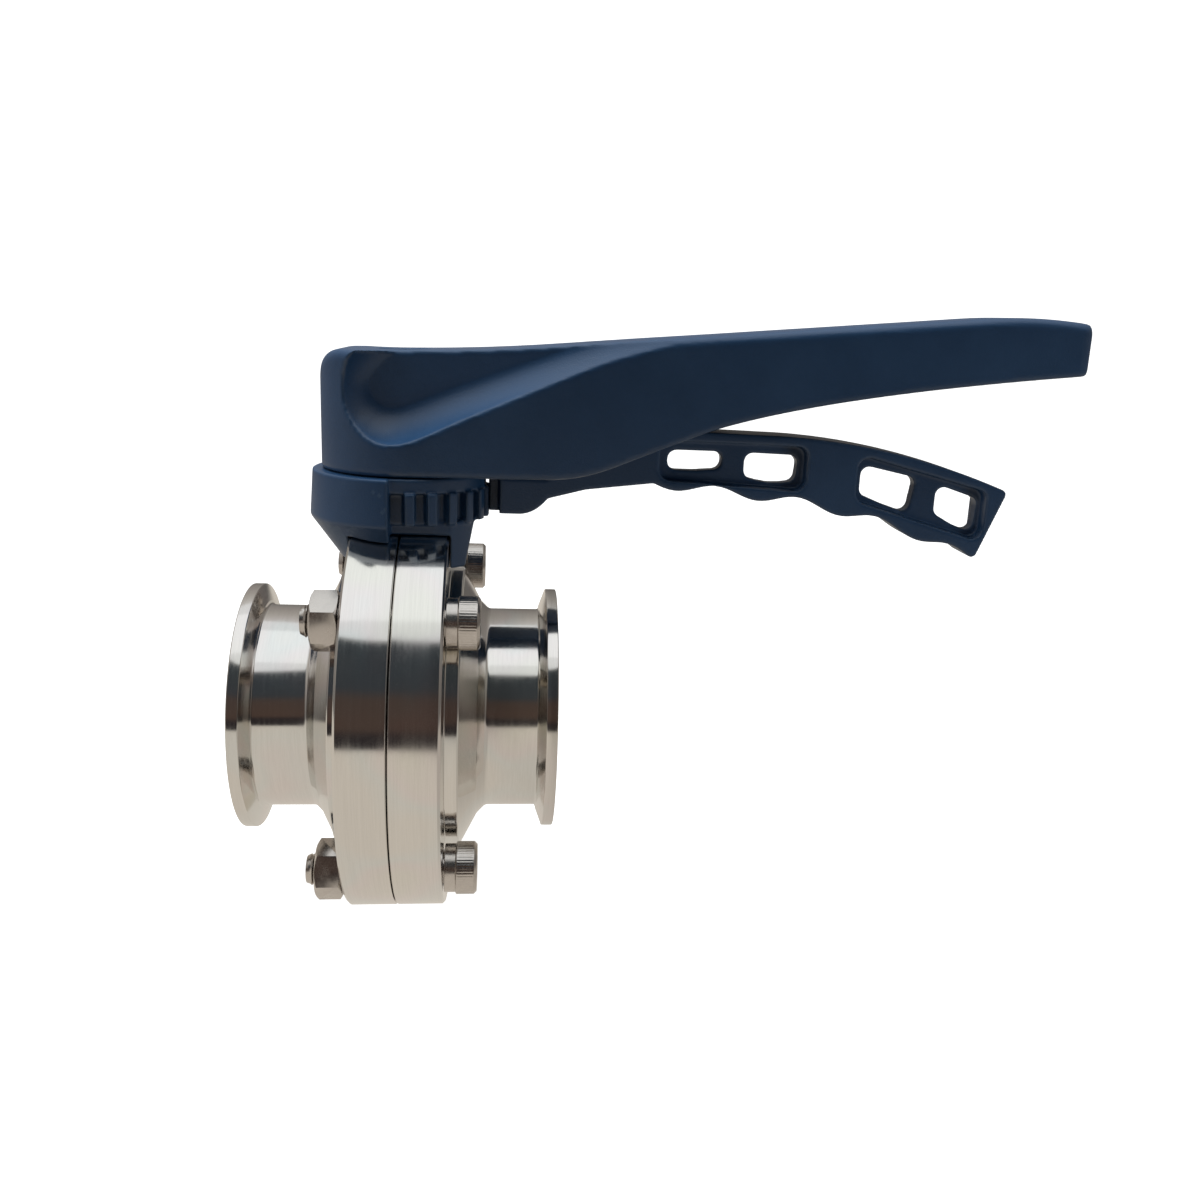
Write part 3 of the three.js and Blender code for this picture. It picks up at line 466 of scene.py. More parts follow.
for side in ("right", "left"):
    half = lathe(f"valve_half_{side}", in_metres(half_outline), "x", 216)
    bolt_holes = [
        drill(BOLT_HOLE_R, -OVERCUT, FLANGE_T + OVERCUT, "x", (y, z))
        for y in (-BOLT_OFFSET, BOLT_OFFSET)
        for z in (-BOLT_OFFSET, BOLT_OFFSET)
    ]
    bush_holes = [
        drill(BUSH_R + GAP, BUSH_HOLE_FROM, flange_r + OVERCUT, "z"),
        drill(BUSH_R + GAP, bush_bottom - GAP, -BUSH_HOLE_FROM, "z"),
    ]
    carve(half, bolt_holes + bush_holes)
    if side == "left":
        half.data.transform(Matrix.Rotation(math.pi, 4, "Z"))
    finish_piece(half, polished_steel, "valve_body", [f"body_half_{side}"], 25)

# ---- Seat ring -----------------------------------------------------------------------------------
# A moulded ring of white silicone held between the halves. It stands a little into the bore,
# where the disc's rim presses on it, and the stem passes through it above and below.


SEAT_PROUD = 0.6


def moulded_rubber():
    """White silicone, slightly cloudy, with a fine moulded grain."""
    made, shader, tree = shader_of(
        "seat_silicone", Roughness=0.5, Subsurface_Weight=0.15, Subsurface_Scale=0.002,
    )
    spot = add(tree, "ShaderNodeTexCoord").outputs["Object"]
    cloud = add(tree, "ShaderNodeTexNoise", {"Vector": spot, "Scale": 180.0, "Detail": 3.0})
    shade = add(tree, "ShaderNodeValToRGB", {0: cloud.outputs["Fac"]})
    set_stops(shade, [(0.3, (0.62, 0.60, 0.56)), (0.7, (0.74, 0.72, 0.69))])
    tree.links.new(shade.outputs["Color"], shader.inputs["Base Color"])
    grain = add(tree, "ShaderNodeTexNoise", {"Vector": spot, "Scale": 2500.0, "Detail": 2.0})
    bump = add(tree, "ShaderNodeBump", {"Height": grain.outputs["Fac"], "Strength": 0.3, "Distance": 1e-5})
    tree.links.new(bump.outputs["Normal"], shader.inputs["Normal"])
    return made


seat_outline = rounded([
    (BORE_R, -SEAT_HALF, 0.3),
    (SEAT_R, -SEAT_HALF, 0.4),
    (SEAT_R, SEAT_HALF, 0.4),
    (BORE_R, SEAT_HALF, 0.3),
    (BORE_R - SEAT_PROUD, SEAT_HALF / 3, 6),
    (BORE_R - SEAT_PROUD, -SEAT_HALF / 3, 6),
])
seat = lathe("seat_ring_moulding", in_metres(seat_outline), "x", 192)
carve(seat, [drill(STEM_R + GAP, -SEAT_R - OVERCUT, SEAT_R + OVERCUT, "z")])
finish_piece(seat, moulded_rubber(), "valve_body", ["seat_ring"])

# ---- Bushes --------------------------------------------------------------------------------------
# Plain sleeves of white bearing plastic, pressed into the halves above and below the seat.
# The stem turns in them.


def turned_plastic():
    """Off-white bearing plastic with turning marks across its height."""
    made, shader, tree = shader_of("bearing_plastic", Roughness=0.45)
    spot = add(tree, "ShaderNodeTexCoord").outputs["Object"]
    height = add(tree, "ShaderNodeSeparateXYZ", {0: spot}).outputs["Z"]
    rings = add(tree, "ShaderNodeCombineXYZ", {2: height})
    marks = add(tree, "ShaderNodeTexNoise", {"Vector": rings.outputs[0], "Scale": 3500.0, "Detail": 2.0})
    bump = add(tree, "ShaderNodeBump", {"Height": marks.outputs["Fac"], "Strength": 0.4, "Distance": 8e-6})
    tree.links.new(bump.outputs["Normal"], shader.inputs["Normal"])
    cloud = add(tree, "ShaderNodeTexNoise", {"Vector": spot, "Scale": 140.0, "Detail": 3.0})
    shade = add(tree, "ShaderNodeValToRGB", {0: cloud.outputs["Fac"]})
    set_stops(shade, [(0.3, (0.70, 0.68, 0.63)), (0.7, (0.80, 0.785, 0.74))])
    tree.links.new(shade.outputs["Color"], shader.inputs["Base Color"])
    return made


bearing_plastic = turned_plastic()
for where in ("upper", "lower"):
    low, high = (corner.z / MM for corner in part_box(f"{where}_bush"))
    sleeve = rounded([
        (STEM_R + GAP, low, 0.3), (BUSH_R, low, 0.4), (BUSH_R, high, 0.4), (STEM_R + GAP, high, 0.3),
    ])
    bush = lathe(f"{where}_sleeve", in_metres(sleeve), "z", 96)
    finish_piece(bush, bearing_plastic, "valve_body", [f"{where}_bush"])

# ---- Disc and stem -------------------------------------------------------------------------------
# One stainless forging: a lens-shaped disc with a rounded sealing rim, and a round stem through it.
# The stem's top is cut square for the handle and drilled for its screw.

stem_low, stem_high = (corner.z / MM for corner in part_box("disc_and_stem"))
disc_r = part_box("disc_and_stem")[1].x / MM
DISC_HALF = 3.4
SQUARE = 9.5
SQUARE_ROUND = 1.1
SHOULDER = 64.0
TAPPED_R = 3.3
TAPPED_DEPTH = 13.0

side_outline = [
    (disc_r - 0.25, 0.55, 0.4),
    (disc_r - 1.6, 1.8, 0.8),
    (13.0, 2.9, 24.0),
    (0.0, DISC_HALF, 0.0),
]
under = [(r, -y, turn) for r, y, turn in side_outline[:-1]]
disc_outline = rounded([(0.0, -DISC_HALF, 0.0), *reversed(under), (disc_r, 0.0, 0.5), *side_outline])
disc = lathe("disc_with_stem", in_metres(disc_outline), "y", 160)
stem_outline = rounded([
    (0.0, stem_low, 0), (STEM_R, stem_low, 0.6), (STEM_R, SHOULDER, 0.4), (0.0, SHOULDER, 0),
])
carve(disc, [lathe("stem", in_metres(stem_outline), "z", 96)], "UNION")
square_corners = [(-1, -1), (1, -1), (1, 1), (-1, 1)]
tang_outline = rounded([(x * SQUARE / 2, y * SQUARE / 2, SQUARE_ROUND) for x, y in square_corners])
carve(disc, [prism("tang", tang_outline, "z", SHOULDER - OVERCUT, stem_high)], "UNION")
carve(disc, [drill(TAPPED_R, stem_high - TAPPED_DEPTH, stem_high + OVERCUT, "z")])
disc_steel = turned_steel("disc_steel", (0.76, 0.73, 0.69), (0.10, 0.18), 2.0e-6, "Z")
finish_piece(disc, disc_steel, "handle_and_disc", ["disc_and_stem"])

# ---- Cap screws ----------------------------------------------------------------------------------
# Four M8 socket screws of plain stainless steel pass through both flanges from the right.
# Their heads are knurled above a smooth foot; the threaded ends show past the nuts.

HEAD_SEAT = FLANGE_T + GAP
screw_low, screw_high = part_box("cap_screw_front_top")
head_h = screw_high.x / MM - HEAD_SEAT
head_r = (screw_high.y - screw_low.y) / 2 / MM
shank = HEAD_SEAT - screw_low.x / MM
THREAD_R = 4.0
THREAD_DEPTH = 0.6
THREAD_SHOWN = 5.0
PITCH = 1.25
FOOT_H = 3.0
KNURL_RIDGES = 56
KNURL_DEPTH = 0.045
KEY_FLATS = 6.0
KEY_DEPTH = 4.0
CORNER_TURN = math.pi / 4


def worn_steel(name, tint, shine, grain):
    """Plain fastener steel: a cast of fine scratches and dull patches."""
    made, shader, tree = shader_of(name, Metallic=1.0)
    spot = add(tree, "ShaderNodeTexCoord").outputs["Object"]
    patches = add(tree, "ShaderNodeTexNoise", {
        "Vector": spot, "Scale": 260.0, "Detail": 5.0, "Roughness": 0.65,
    })
    gloss = add(tree, "ShaderNodeMapRange", {
        "Value": patches.outputs["Fac"],
        "From Min": 0.3, "From Max": 0.7, "To Min": shine[0], "To Max": shine[1],
    })
    tree.links.new(gloss.outputs["Result"], shader.inputs["Roughness"])
    shade = add(tree, "ShaderNodeValToRGB", {0: patches.outputs["Fac"]})
    set_stops(shade, [(0.3, [value * 0.86 for value in tint]), (0.65, tint)])
    tree.links.new(shade.outputs["Color"], shader.inputs["Base Color"])
    stretch = add(tree, "ShaderNodeMapping", {"Vector": spot, "Scale": (1.0, 6.0, 6.0)})
    scratches = add(tree, "ShaderNodeTexNoise", {
        "Vector": stretch.outputs[0], "Scale": 700.0, "Detail": 4.0,
    })
    bump = add(tree, "ShaderNodeBump", {
        "Height": scratches.outputs["Fac"], "Strength": 0.5, "Distance": grain,
    })
    tree.links.new(bump.outputs["Normal"], shader.inputs["Normal"])
    return made


def new_group(name, inputs):
    """A Geometry Nodes group with a geometry in and out and named inputs; returns it with its ends."""
    group = bpy.data.node_groups.new(name, "GeometryNodeTree")
    group.interface.new_socket("Geometry", in_out="INPUT", socket_type="NodeSocketGeometry")
    for label, kind in inputs:
        group.interface.new_socket(label, in_out="INPUT", socket_type=f"NodeSocket{kind}")
    group.interface.new_socket("Geometry", in_out="OUTPUT", socket_type="NodeSocketGeometry")
    source = group.nodes.new("NodeGroupInput")
    sink = group.nodes.new("NodeGroupOutput")
    return group, source, sink


def run_group(piece, group, values):
    """Runs a group on a piece with its named inputs set, and keeps the plain mesh that it makes."""
    step = piece.modifiers.new(group.name, "NODES")
    step.node_group = group
    for item in group.interface.items_tree:
        if item.in_out == "INPUT" and item.name in values:
            step[item.identifier] = values[item.name]
    return settle(piece)


def end_group(group, copies, source, sink):
    """Makes a group's copies real, gives them its material and joins them to its end."""
    real = add(group, "GeometryNodeRealizeInstances", {0: copies.outputs[0]})
    coated = add(group, "GeometryNodeSetMaterial", {
        "Geometry": real.outputs[0], "Material": source.outputs["Material"],
    })
    group.links.new(coated.outputs[0], sink.inputs[0])
    return group


def math_node(group, operation, a, b=0.0):
    """The result of one sum in a Geometry Nodes group."""
    return add(group, "ShaderNodeMath", {0: a, 1: b}, operation=operation).outputs[0]


def corner_group(name):
    """Knurls or threads the source piece round X, then stands copies of it on a ring of corners."""
    group, source, sink = new_group(name, [
        ("Copies", "Int"), ("Ring Radius", "Float"), ("Ring Turn", "Float"), ("Seat", "Float"),
        ("Ridges", "Int"), ("Ridge Depth", "Float"), ("Ridges From", "Float"), ("Ridges To", "Float"),
        ("Thread Pitch", "Float"), ("Thread Depth", "Float"), ("Thread Below", "Float"),
        ("Seed", "Int"), ("Material", "Material"),
    ])
    value = source.outputs
    here = add(group, "GeometryNodeInputPosition").outputs[0]
    apart = add(group, "ShaderNodeSeparateXYZ", {0: here})
    x, y, z = apart.outputs
    y_squared = math_node(group, "MULTIPLY", y, y)
    z_squared = math_node(group, "MULTIPLY", z, z)
    radius = math_node(group, "SQRT", math_node(group, "ADD", y_squared, z_squared))
    angle = math_node(group, "ARCTAN2", z, y)
    wave = math_node(group, "COSINE", math_node(group, "MULTIPLY", angle, value["Ridges"]))
    after_start = math_node(group, "GREATER_THAN", x, value["Ridges From"])
    before_end = math_node(group, "LESS_THAN", x, value["Ridges To"])
    on_rim = math_node(group, "GREATER_THAN", radius, 0.95 * head_r * MM)
    knurled = math_node(group, "MULTIPLY", math_node(group, "MULTIPLY", after_start, before_end), on_rim)
    dip = math_node(group, "MULTIPLY", math_node(group, "SUBTRACT", wave, 1.0), value["Ridge Depth"])
    lead = math_node(group, "DIVIDE", x, value["Thread Pitch"])
    lap = math_node(group, "DIVIDE", angle, 2 * math.pi)
    tooth = math_node(group, "PINGPONG", math_node(group, "ADD", lead, lap), 0.5)
    below = math_node(group, "LESS_THAN", x, value["Thread Below"])
    on_shank = math_node(group, "GREATER_THAN", radius, 0.9 * THREAD_R * MM)
    threaded = math_node(group, "MULTIPLY", below, on_shank)
    groove = math_node(group, "MULTIPLY", math_node(group, "MULTIPLY", tooth, -2.0), value["Thread Depth"])
    knurl = math_node(group, "MULTIPLY", knurled, dip)
    thread = math_node(group, "MULTIPLY", threaded, groove)
    push = math_node(group, "ADD", knurl, thread)
    outward = add(group, "ShaderNodeVectorMath", {
        0: add(group, "ShaderNodeCombineXYZ", {1: y, 2: z}).outputs[0],
    }, operation="NORMALIZE").outputs[0]
    offset = add(group, "ShaderNodeVectorMath", {0: outward, "Scale": push}, operation="SCALE").outputs[0]
    cut = add(group, "GeometryNodeSetPosition", {"Geometry": value["Geometry"], "Offset": offset})
    ring = add(group, "GeometryNodeMeshCircle", {
        "Vertices": value["Copies"], "Radius": value["Ring Radius"],
    })
    spun = add(group, "ShaderNodeCombineXYZ", {2: value["Ring Turn"]})
    turned_ring = add(group, "GeometryNodeTransform", {
        "Geometry": ring.outputs[0], "Rotation": spun.outputs[0],
    })
    stand = add(group, "ShaderNodeCombineXYZ", {0: value["Seat"]})
    upright_ring = add(group, "GeometryNodeTransform", {
        "Geometry": turned_ring.outputs[0], "Translation": stand.outputs[0], "Rotation": (0, math.pi / 2, 0),
    })
    chance = add(group, "FunctionNodeRandomValue", {3: 2 * math.pi, "Seed": value["Seed"]})
    spin = add(group, "ShaderNodeCombineXYZ", {0: chance.outputs[1]})
    copies = add(group, "GeometryNodeInstanceOnPoints", {
        "Points": upright_ring.outputs[0], "Instance": cut.outputs[0], "Rotation": spin.outputs[0],
    })
    return end_group(group, copies, source, sink)


fastener_steel = worn_steel("fastener_steel", (0.64, 0.60, 0.565), (0.16, 0.30), 3e-6)
corners = corner_group("fasteners at the corners")
ring_radius = BOLT_OFFSET * math.sqrt(2) * MM

thread_rows = [(THREAD_R, -shank + 0.9 + PITCH / 8 * k, 0) for k in range(34)]
screw_outline = rounded([
    (0.0, -shank, 0), (THREAD_R - 0.7, -shank, 0.1), *thread_rows,
    (THREAD_R, -shank / 2, 0), (THREAD_R, 0, 0), (head_r - 0.5, 0, 0.2), (head_r - 0.5, FOOT_H - 0.3, 0.1),
    (head_r, FOOT_H, 0.1), (head_r, FOOT_H + 0.4, 0), (head_r, head_h - 1.1, 0), (head_r, head_h - 0.7, 0.2),
    (head_r - 0.7, head_h, 0.3), (0.0, head_h, 0),
])
screws = lathe("corner_screws", in_metres(screw_outline), "x", 200)
hexagon = arc((0, 0), KEY_FLATS / math.sqrt(3), 0, 300, 5)
carve(screws, [prism("key", hexagon, "x", head_h - KEY_DEPTH, head_h + OVERCUT)])
run_group(screws, corners, {
    "Copies": 4, "Ring Radius": ring_radius, "Ring Turn": CORNER_TURN, "Seat": HEAD_SEAT * MM,
    "Ridges": KNURL_RIDGES, "Ridge Depth": KNURL_DEPTH * MM,
    "Ridges From": (FOOT_H + 0.3) * MM, "Ridges To": (head_h - 0.9) * MM,
    "Thread Pitch": PITCH * MM, "Thread Depth": THREAD_DEPTH * MM,
    "Thread Below": (THREAD_SHOWN - shank) * MM,
    "Seed": 3, "Material": fastener_steel,
})
screw_names = [f"cap_screw_{y}_{z}" for y in ("front", "back") for z in ("top", "bottom")]
finish_piece(screws, fastener_steel, "valve_body", screw_names, 35)

# ---- Nuts ----------------------------------------------------------------------------------------
# Four plain M8 hexagon nuts of the same steel as the screws, chamfered on both faces.
# They pull the flanges together from the left.

nut_low, nut_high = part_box("nut_front_top")
nut_h = (nut_high.x - nut_low.x) / MM
NUT_FLATS = 13.0
NUT_CHAMFER = 0.75
NUT_BORE_R = 4.3
NUT_MOUTH_R = 5.3
NUT_EDGE = 0.22

nut_corner = NUT_FLATS / math.sqrt(3)
nut = prism("corner_nuts", arc((0, 0), nut_corner, 30, 330, 5), "x", 0, nut_h)
dome = rounded([
    (0.0, 0.0, 0), (NUT_FLATS / 2 - 0.2, 0.0, 0.3), (nut_corner + 0.1, NUT_CHAMFER, 0.4),
    (nut_corner + 0.1, nut_h - NUT_CHAMFER, 0.4), (NUT_FLATS / 2 - 0.2, nut_h, 0.3), (0.0, nut_h, 0),
])
carve(nut, [lathe("dome", in_metres(dome), "x", 96)], "INTERSECT")
bore = rounded([
    (0.0, -OVERCUT, 0), (NUT_MOUTH_R, -OVERCUT, 0), (NUT_BORE_R, 0.6, 0.1),
    (NUT_BORE_R, nut_h - 0.6, 0.1), (NUT_MOUTH_R, nut_h + OVERCUT, 0), (0.0, nut_h + OVERCUT, 0),
])
carve(nut, [lathe("bore", in_metres(bore), "x", 96)])
bevel = nut.modifiers.new("edges", "BEVEL")
bevel.width = NUT_EDGE * MM
bevel.segments = 2
bevel.limit_method = "ANGLE"
bevel.angle_limit = math.radians(32)
settle(nut)
run_group(nut, corners, {
    "Copies": 4, "Ring Radius": ring_radius, "Ring Turn": CORNER_TURN, "Seat": nut_low.x,
    "Ridges": 0, "Ridge Depth": 0.0, "Ridges From": 1.0, "Ridges To": 1.0,
    "Thread Pitch": PITCH * MM, "Thread Depth": 0.0, "Thread Below": -1.0,
    "Seed": 8, "Material": fastener_steel,
})
nut_names = [name.replace("cap_screw", "nut") for name in screw_names]
finish_piece(nut, fastener_steel, "valve_body", nut_names, 35)

# ---- Index plate ---------------------------------------------------------------------------------
# A dark blue nylon moulding that sits over both flanges. Upright teeth every 15 degrees take the
# trigger's tooth over the front half turn, and a plain skirt closes the back.

plate_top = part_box("index_plate")[1].z / MM
PLATE_Z = flange_r + 0.7
BAND_Z = PLATE_Z + 7.8
TEETH = 12
TOOTH_PITCH = 15.0
TOOTH_SHARE = 0.42
TOOTH_FLARE = 1.35
TOOTH_R = 21.3
ROOT_R = 18.9
BAND_R = 20.6
SKIRT_R = 23.5
SKIRT_TOP_R = 22.8
SKIRT_EDGE_X = -2.2
LEG_Z = flange_r - 10.5
LEG_HALF_X = 15.8
LEG_TOP_HALF_X = 18.0
LEG_HALF_Y = 16.5
OVERLAP = 0.5
SKIN = 0.36
SKIN_PASSES = 3
ROUNDED_OFF = 0.3


def moulded_nylon():
    """Satin nylon: a fine moulded grain, cloudy colour and a painted highlight along its convex edges."""
    made, shader, tree = shader_of("blue_nylon", Specular_IOR_Level=0.65)
    spot = add(tree, "ShaderNodeTexCoord").outputs["Object"]
    cloud = add(tree, "ShaderNodeTexNoise", {"Vector": spot, "Scale": 38.0, "Detail": 5.0, "Roughness": 0.6})
    shade = add(tree, "ShaderNodeValToRGB", {0: cloud.outputs["Fac"]})
    set_stops(shade, [(0.32, (0.0155, 0.048, 0.110)), (0.68, (0.0205, 0.060, 0.134))])
    # Convex edges, found by pointiness, are mixed towards a paler blue: a painted highlight along the rounded
    # edges.
    edge = add(tree, "ShaderNodeNewGeometry").outputs["Pointiness"]
    edge_highlight = add(tree, "ShaderNodeMapRange", {
        "Value": edge, "From Min": 0.515, "From Max": 0.58, "To Min": 0.0, "To Max": 0.55,
    })
    edge_highlighted = add(tree, "ShaderNodeMix", {
        "Factor": edge_highlight.outputs["Result"], 6: shade.outputs["Color"], 7: (0.060, 0.105, 0.175, 1.0),
    }, data_type="RGBA")
    tree.links.new(edge_highlighted.outputs[2], shader.inputs["Base Color"])
    gloss = add(tree, "ShaderNodeMapRange", {
        "Value": cloud.outputs["Fac"], "From Min": 0.3, "From Max": 0.7, "To Min": 0.33, "To Max": 0.42,
    })
    tree.links.new(gloss.outputs["Result"], shader.inputs["Roughness"])
    grain = add(tree, "ShaderNodeTexNoise", {"Vector": spot, "Scale": 2300.0, "Detail": 3.0})
    bump = add(tree, "ShaderNodeBump", {"Height": grain.outputs["Fac"], "Strength": 0.8, "Distance": 6e-5})
    tree.links.new(bump.outputs["Normal"], shader.inputs["Normal"])
    return made


def moulding(name, parts, grain, passes):
    """Joins overlapping solids under one skin and rounds its edges, as a moulding's are."""
    work = bmesh.new()
    for part in parts:
        work.from_mesh(part.data)
        bpy.data.objects.remove(part)
    made = link(name, bpy.data.meshes.new(name))
    work.to_mesh(made.data)
    work.free()
    skin = made.modifiers.new("skin", "REMESH")
    skin.mode = "VOXEL"
    skin.voxel_size = grain * MM
    smooth = made.modifiers.new("rounding", "SMOOTH")
    smooth.factor = 0.5
    smooth.iterations = passes
    return settle(made)


def teeth_group():
    """Stands copies of the source tooth at an even pitch round Z."""
    group, source, sink = new_group("index teeth", [
        ("Teeth", "Int"), ("Pitch", "Float"), ("First Angle", "Float"), ("Material", "Material"),
    ])
    value = source.outputs
    points = add(group, "GeometryNodePoints", {"Count": value["Teeth"]})
    index = add(group, "GeometryNodeInputIndex").outputs[0]
    along = math_node(group, "MULTIPLY", index, value["Pitch"])
    angle = math_node(group, "ADD", along, value["First Angle"])
    spin = add(group, "ShaderNodeCombineXYZ", {2: angle})
    copies = add(group, "GeometryNodeInstanceOnPoints", {
        "Points": points.outputs[0], "Instance": value["Geometry"], "Rotation": spin.outputs[0],
    })
    return end_group(group, copies, source, sink)


blue_nylon = moulded_nylon()
half_tooth = math.radians(TOOTH_PITCH * TOOTH_SHARE) / 2
crown_r = TOOTH_R + ROUNDED_OFF
crown_x = crown_r * math.cos(half_tooth)
crown_y = crown_r * math.sin(half_tooth)
root_x = ROOT_R - OVERCUT
root_y = root_x * math.sin(half_tooth * TOOTH_FLARE)
tooth_view = [(root_x, -root_y), (crown_x, -crown_y), (crown_x, crown_y), (root_x, root_y)]
tooth = prism("teeth", tooth_view, "z", PLATE_Z, BAND_Z)
run_group(tooth, teeth_group(), {
    "Teeth": TEETH, "Pitch": math.radians(TOOTH_PITCH),
    "First Angle": math.radians(-(TEETH - 1) / 2 * TOOTH_PITCH), "Material": blue_nylon,
})


def rod(radius, low, high):
    """A smooth upright cylinder about the stem's axis."""
    return drill(radius, low, high, "z", (0, 0), 144)


foot_view = [
    (SKIRT_EDGE_X - OVERLAP, LEG_Z), (LEG_HALF_X, LEG_Z),
    (LEG_TOP_HALF_X, PLATE_Z + OVERLAP), (SKIRT_EDGE_X - OVERLAP, PLATE_Z + OVERLAP),
]
foot = prism("foot", foot_view, "y", -LEG_HALF_Y, LEG_HALF_Y)
carve(foot, [rod(BAND_R, LEG_Z, PLATE_Z + OVERLAP)], "INTERSECT")
skirt_outline = rounded([
    (0, LEG_Z, 0), (LEG_HALF_X, LEG_Z, 0.5), (SKIRT_R, PLATE_Z - 0.3, 1.2), (SKIRT_TOP_R, plate_top, 0.5),
    (0, plate_top, 0),
])
skirt = lathe("skirt", in_metres(skirt_outline), "z", 144)
clear = SKIRT_R + OVERCUT
back_half = [(-clear, -clear), (SKIRT_EDGE_X, -clear), (SKIRT_EDGE_X, clear), (-clear, clear)]
carve(skirt, [prism("back half", back_half, "z", LEG_Z - OVERCUT, plate_top + OVERCUT)], "INTERSECT")
ring_core = rod(ROOT_R, PLATE_Z - 0.2, plate_top - 0.05)
ring_band = rod(BAND_R, BAND_Z - 0.1, plate_top)
plate_parts = [foot, skirt, ring_core, ring_band]
for part in plate_parts:
    flange_space = drill(flange_r + GAP, -FLANGE_T - GAP, FLANGE_T + GAP, "x", (0, 0), 192)
    carve(part, [flange_space, rod(BUSH_R + GAP, 0, plate_top + OVERCUT)])
plate = moulding("toothed_index_plate", [*plate_parts, tooth], SKIN, SKIN_PASSES)
finish_piece(plate, blue_nylon, "valve_body", ["index_plate"], 180)

# ---- Handle --------------------------------------------------------------------------------------
# The lever is one hollow nylon moulding, open underneath. Its round hub fits the stem's square, and
# long scoops on both sides thin it towards the grip. A screw holds it down inside an open recess.

handle_low, handle_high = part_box("handle")
hub_z = handle_low.z / MM
hub_r = -handle_low.x / MM
grip_end = handle_high.x / MM
HUB_TOP = 29.3
HUB_CORNER = 7.0
FLAT_X = 36.0
TOP_RISE = 2.8
TOP_SLOPE = 0.1073
TOP_FALL_L = 30.0
TOP_FALL = 0.0037
NECK_SLOPE = 0.4
NECK_FILLET = 8.0
NECK_RUN = 28.0
TIP_H = 13.0
GRIP_X = 78.0
GRIP_HALF = 12.0
TIP_HALF = 10.0
TIP_ROUND = 3.0
TIP_EDGE = 1.5
TOP_EDGE_R = 2.4
LOW_EDGE_R = 0.8
SLOT_HALF = 7.5
SLOT_X = 34.4
SLOT_END = grip_end - 8.0
ROOF = 3.2
SCOOP_DEPTH = 9.6
SCOOP_BLEND = 8.0
SCOOP_FLOOR = 11.0
SCOOP_SLOPE = 1.3
SCOOP_EDGE = [
    (3.8, -4), (-0.4, 0), (-4.0, 2.8), (-6.8, 6.3), (-7.4, 9.6), (-5.6, 12.3), (-0.6, 13.6), (14.7, 8.1),
    (42, 0.3), (57, -2), (78, -3), (98, -5.4),
]
SCOOP_RINGS = 20
SCOOP_CLEAR = 6.0
SCOOP_SPAN = (120.0, -40.0)
SCOOP_TOP = 60.0
COUNTERBORE = 18.7
SCREW_HOLE_R = 3.4
WASHER_R = 6.0
LEVER_SKIN = 0.58
PIVOT_X = 46.0
PIVOT_H = 8.7
PIN_R = 2.0
PIN_BLIND = 4.0
HUB_SECTIONS = 40
LEVER_SECTIONS = 110
TIP_SECTIONS = 10


def top_at(x):
    """Height of the handle's top edge above its underside."""
    from_neck = x - FLAT_X
    from_fall = max(0.0, x - grip_end + TOP_FALL_L)
    reach = FLAT_X + hub_r - HUB_CORNER
    level_out = (TOP_SLOPE * reach - TOP_RISE) / reach ** 2
    bend = level_out * from_neck ** 2 if from_neck < 0 else -TOP_FALL * from_fall ** 2
    return HUB_TOP + TOP_RISE + TOP_SLOPE * from_neck + bend


def top_edge(start, end, drop, steps=40):
    """Points along the handle's top edge, all lowered by a drop."""
    stations = [start + (end - start) * i / steps for i in range(steps + 1)]
    return [(x, hub_z + top_at(x) - drop) for x in stations]


def curve_through(a, b, c, steps=16):
    """A quadratic curve from a to c drawn towards b, without its first point."""
    points = []
    for i in range(1, steps + 1):
        t = i / steps
        near, middle, far = (1 - t) ** 2, 2 * t * (1 - t), t ** 2
        points.append(tuple(near * p + middle * q + far * r for p, q, r in zip(a, b, c)))
    return points


def spline(points, steps=8):
    """A smooth line through points, as many steps between each two."""
    ends = [points[0], *points, points[-1]]
    line = []
    for i in range(1, len(ends) - 2):
        p0, p1, p2, p3 = (Vector(p) for p in ends[i - 1:i + 3])
        for k in range(steps):
            t = k / steps
            line.append(0.5 * ((2 * p1) + (p2 - p0) * t + (2 * p0 - 5 * p1 + 4 * p2 - p3) * t ** 2
                               + (3 * p1 - p0 - 3 * p2 + p3) * t ** 3))
    line.append(Vector(points[-1]))
    return line


def bottom_at(run):
    """A point on the neck's slope, a run past the fillet under the hub."""
    return (FLAT_X + NECK_FILLET + run, hub_z + NECK_SLOPE * run)


def underside_at(x):
    """Height of the lever's lower edge: flat under the hub, a short slope, then a long sweep."""
    if x <= SIDE_LINE[0][0]:
        return hub_z
    for (x0, z0), (x1, z1) in zip(SIDE_LINE, SIDE_LINE[1:]):
        if x <= x1:
            return z0 + (z1 - z0) * (x - x0) / (x1 - x0)
    return SIDE_LINE[-1][1]


def half_width_at(x):
    """Half the lever's width: a round hub, straight flanks to the grip, and rounded tip corners."""
    if x <= TANGENT_X:
        return math.sqrt(max(hub_r ** 2 - x ** 2, 0.0))
    if x <= GRIP_X:
        return TANGENT_Y + (GRIP_HALF - TANGENT_Y) * (x - TANGENT_X) / (GRIP_X - TANGENT_X)
    width = GRIP_HALF + (TIP_HALF - GRIP_HALF) * (x - GRIP_X) / (grip_end - GRIP_X)
    inset = max(0.0, x - grip_end + TIP_ROUND)
    return width - TIP_ROUND + math.sqrt(max(TIP_ROUND ** 2 - inset ** 2, 0.0))


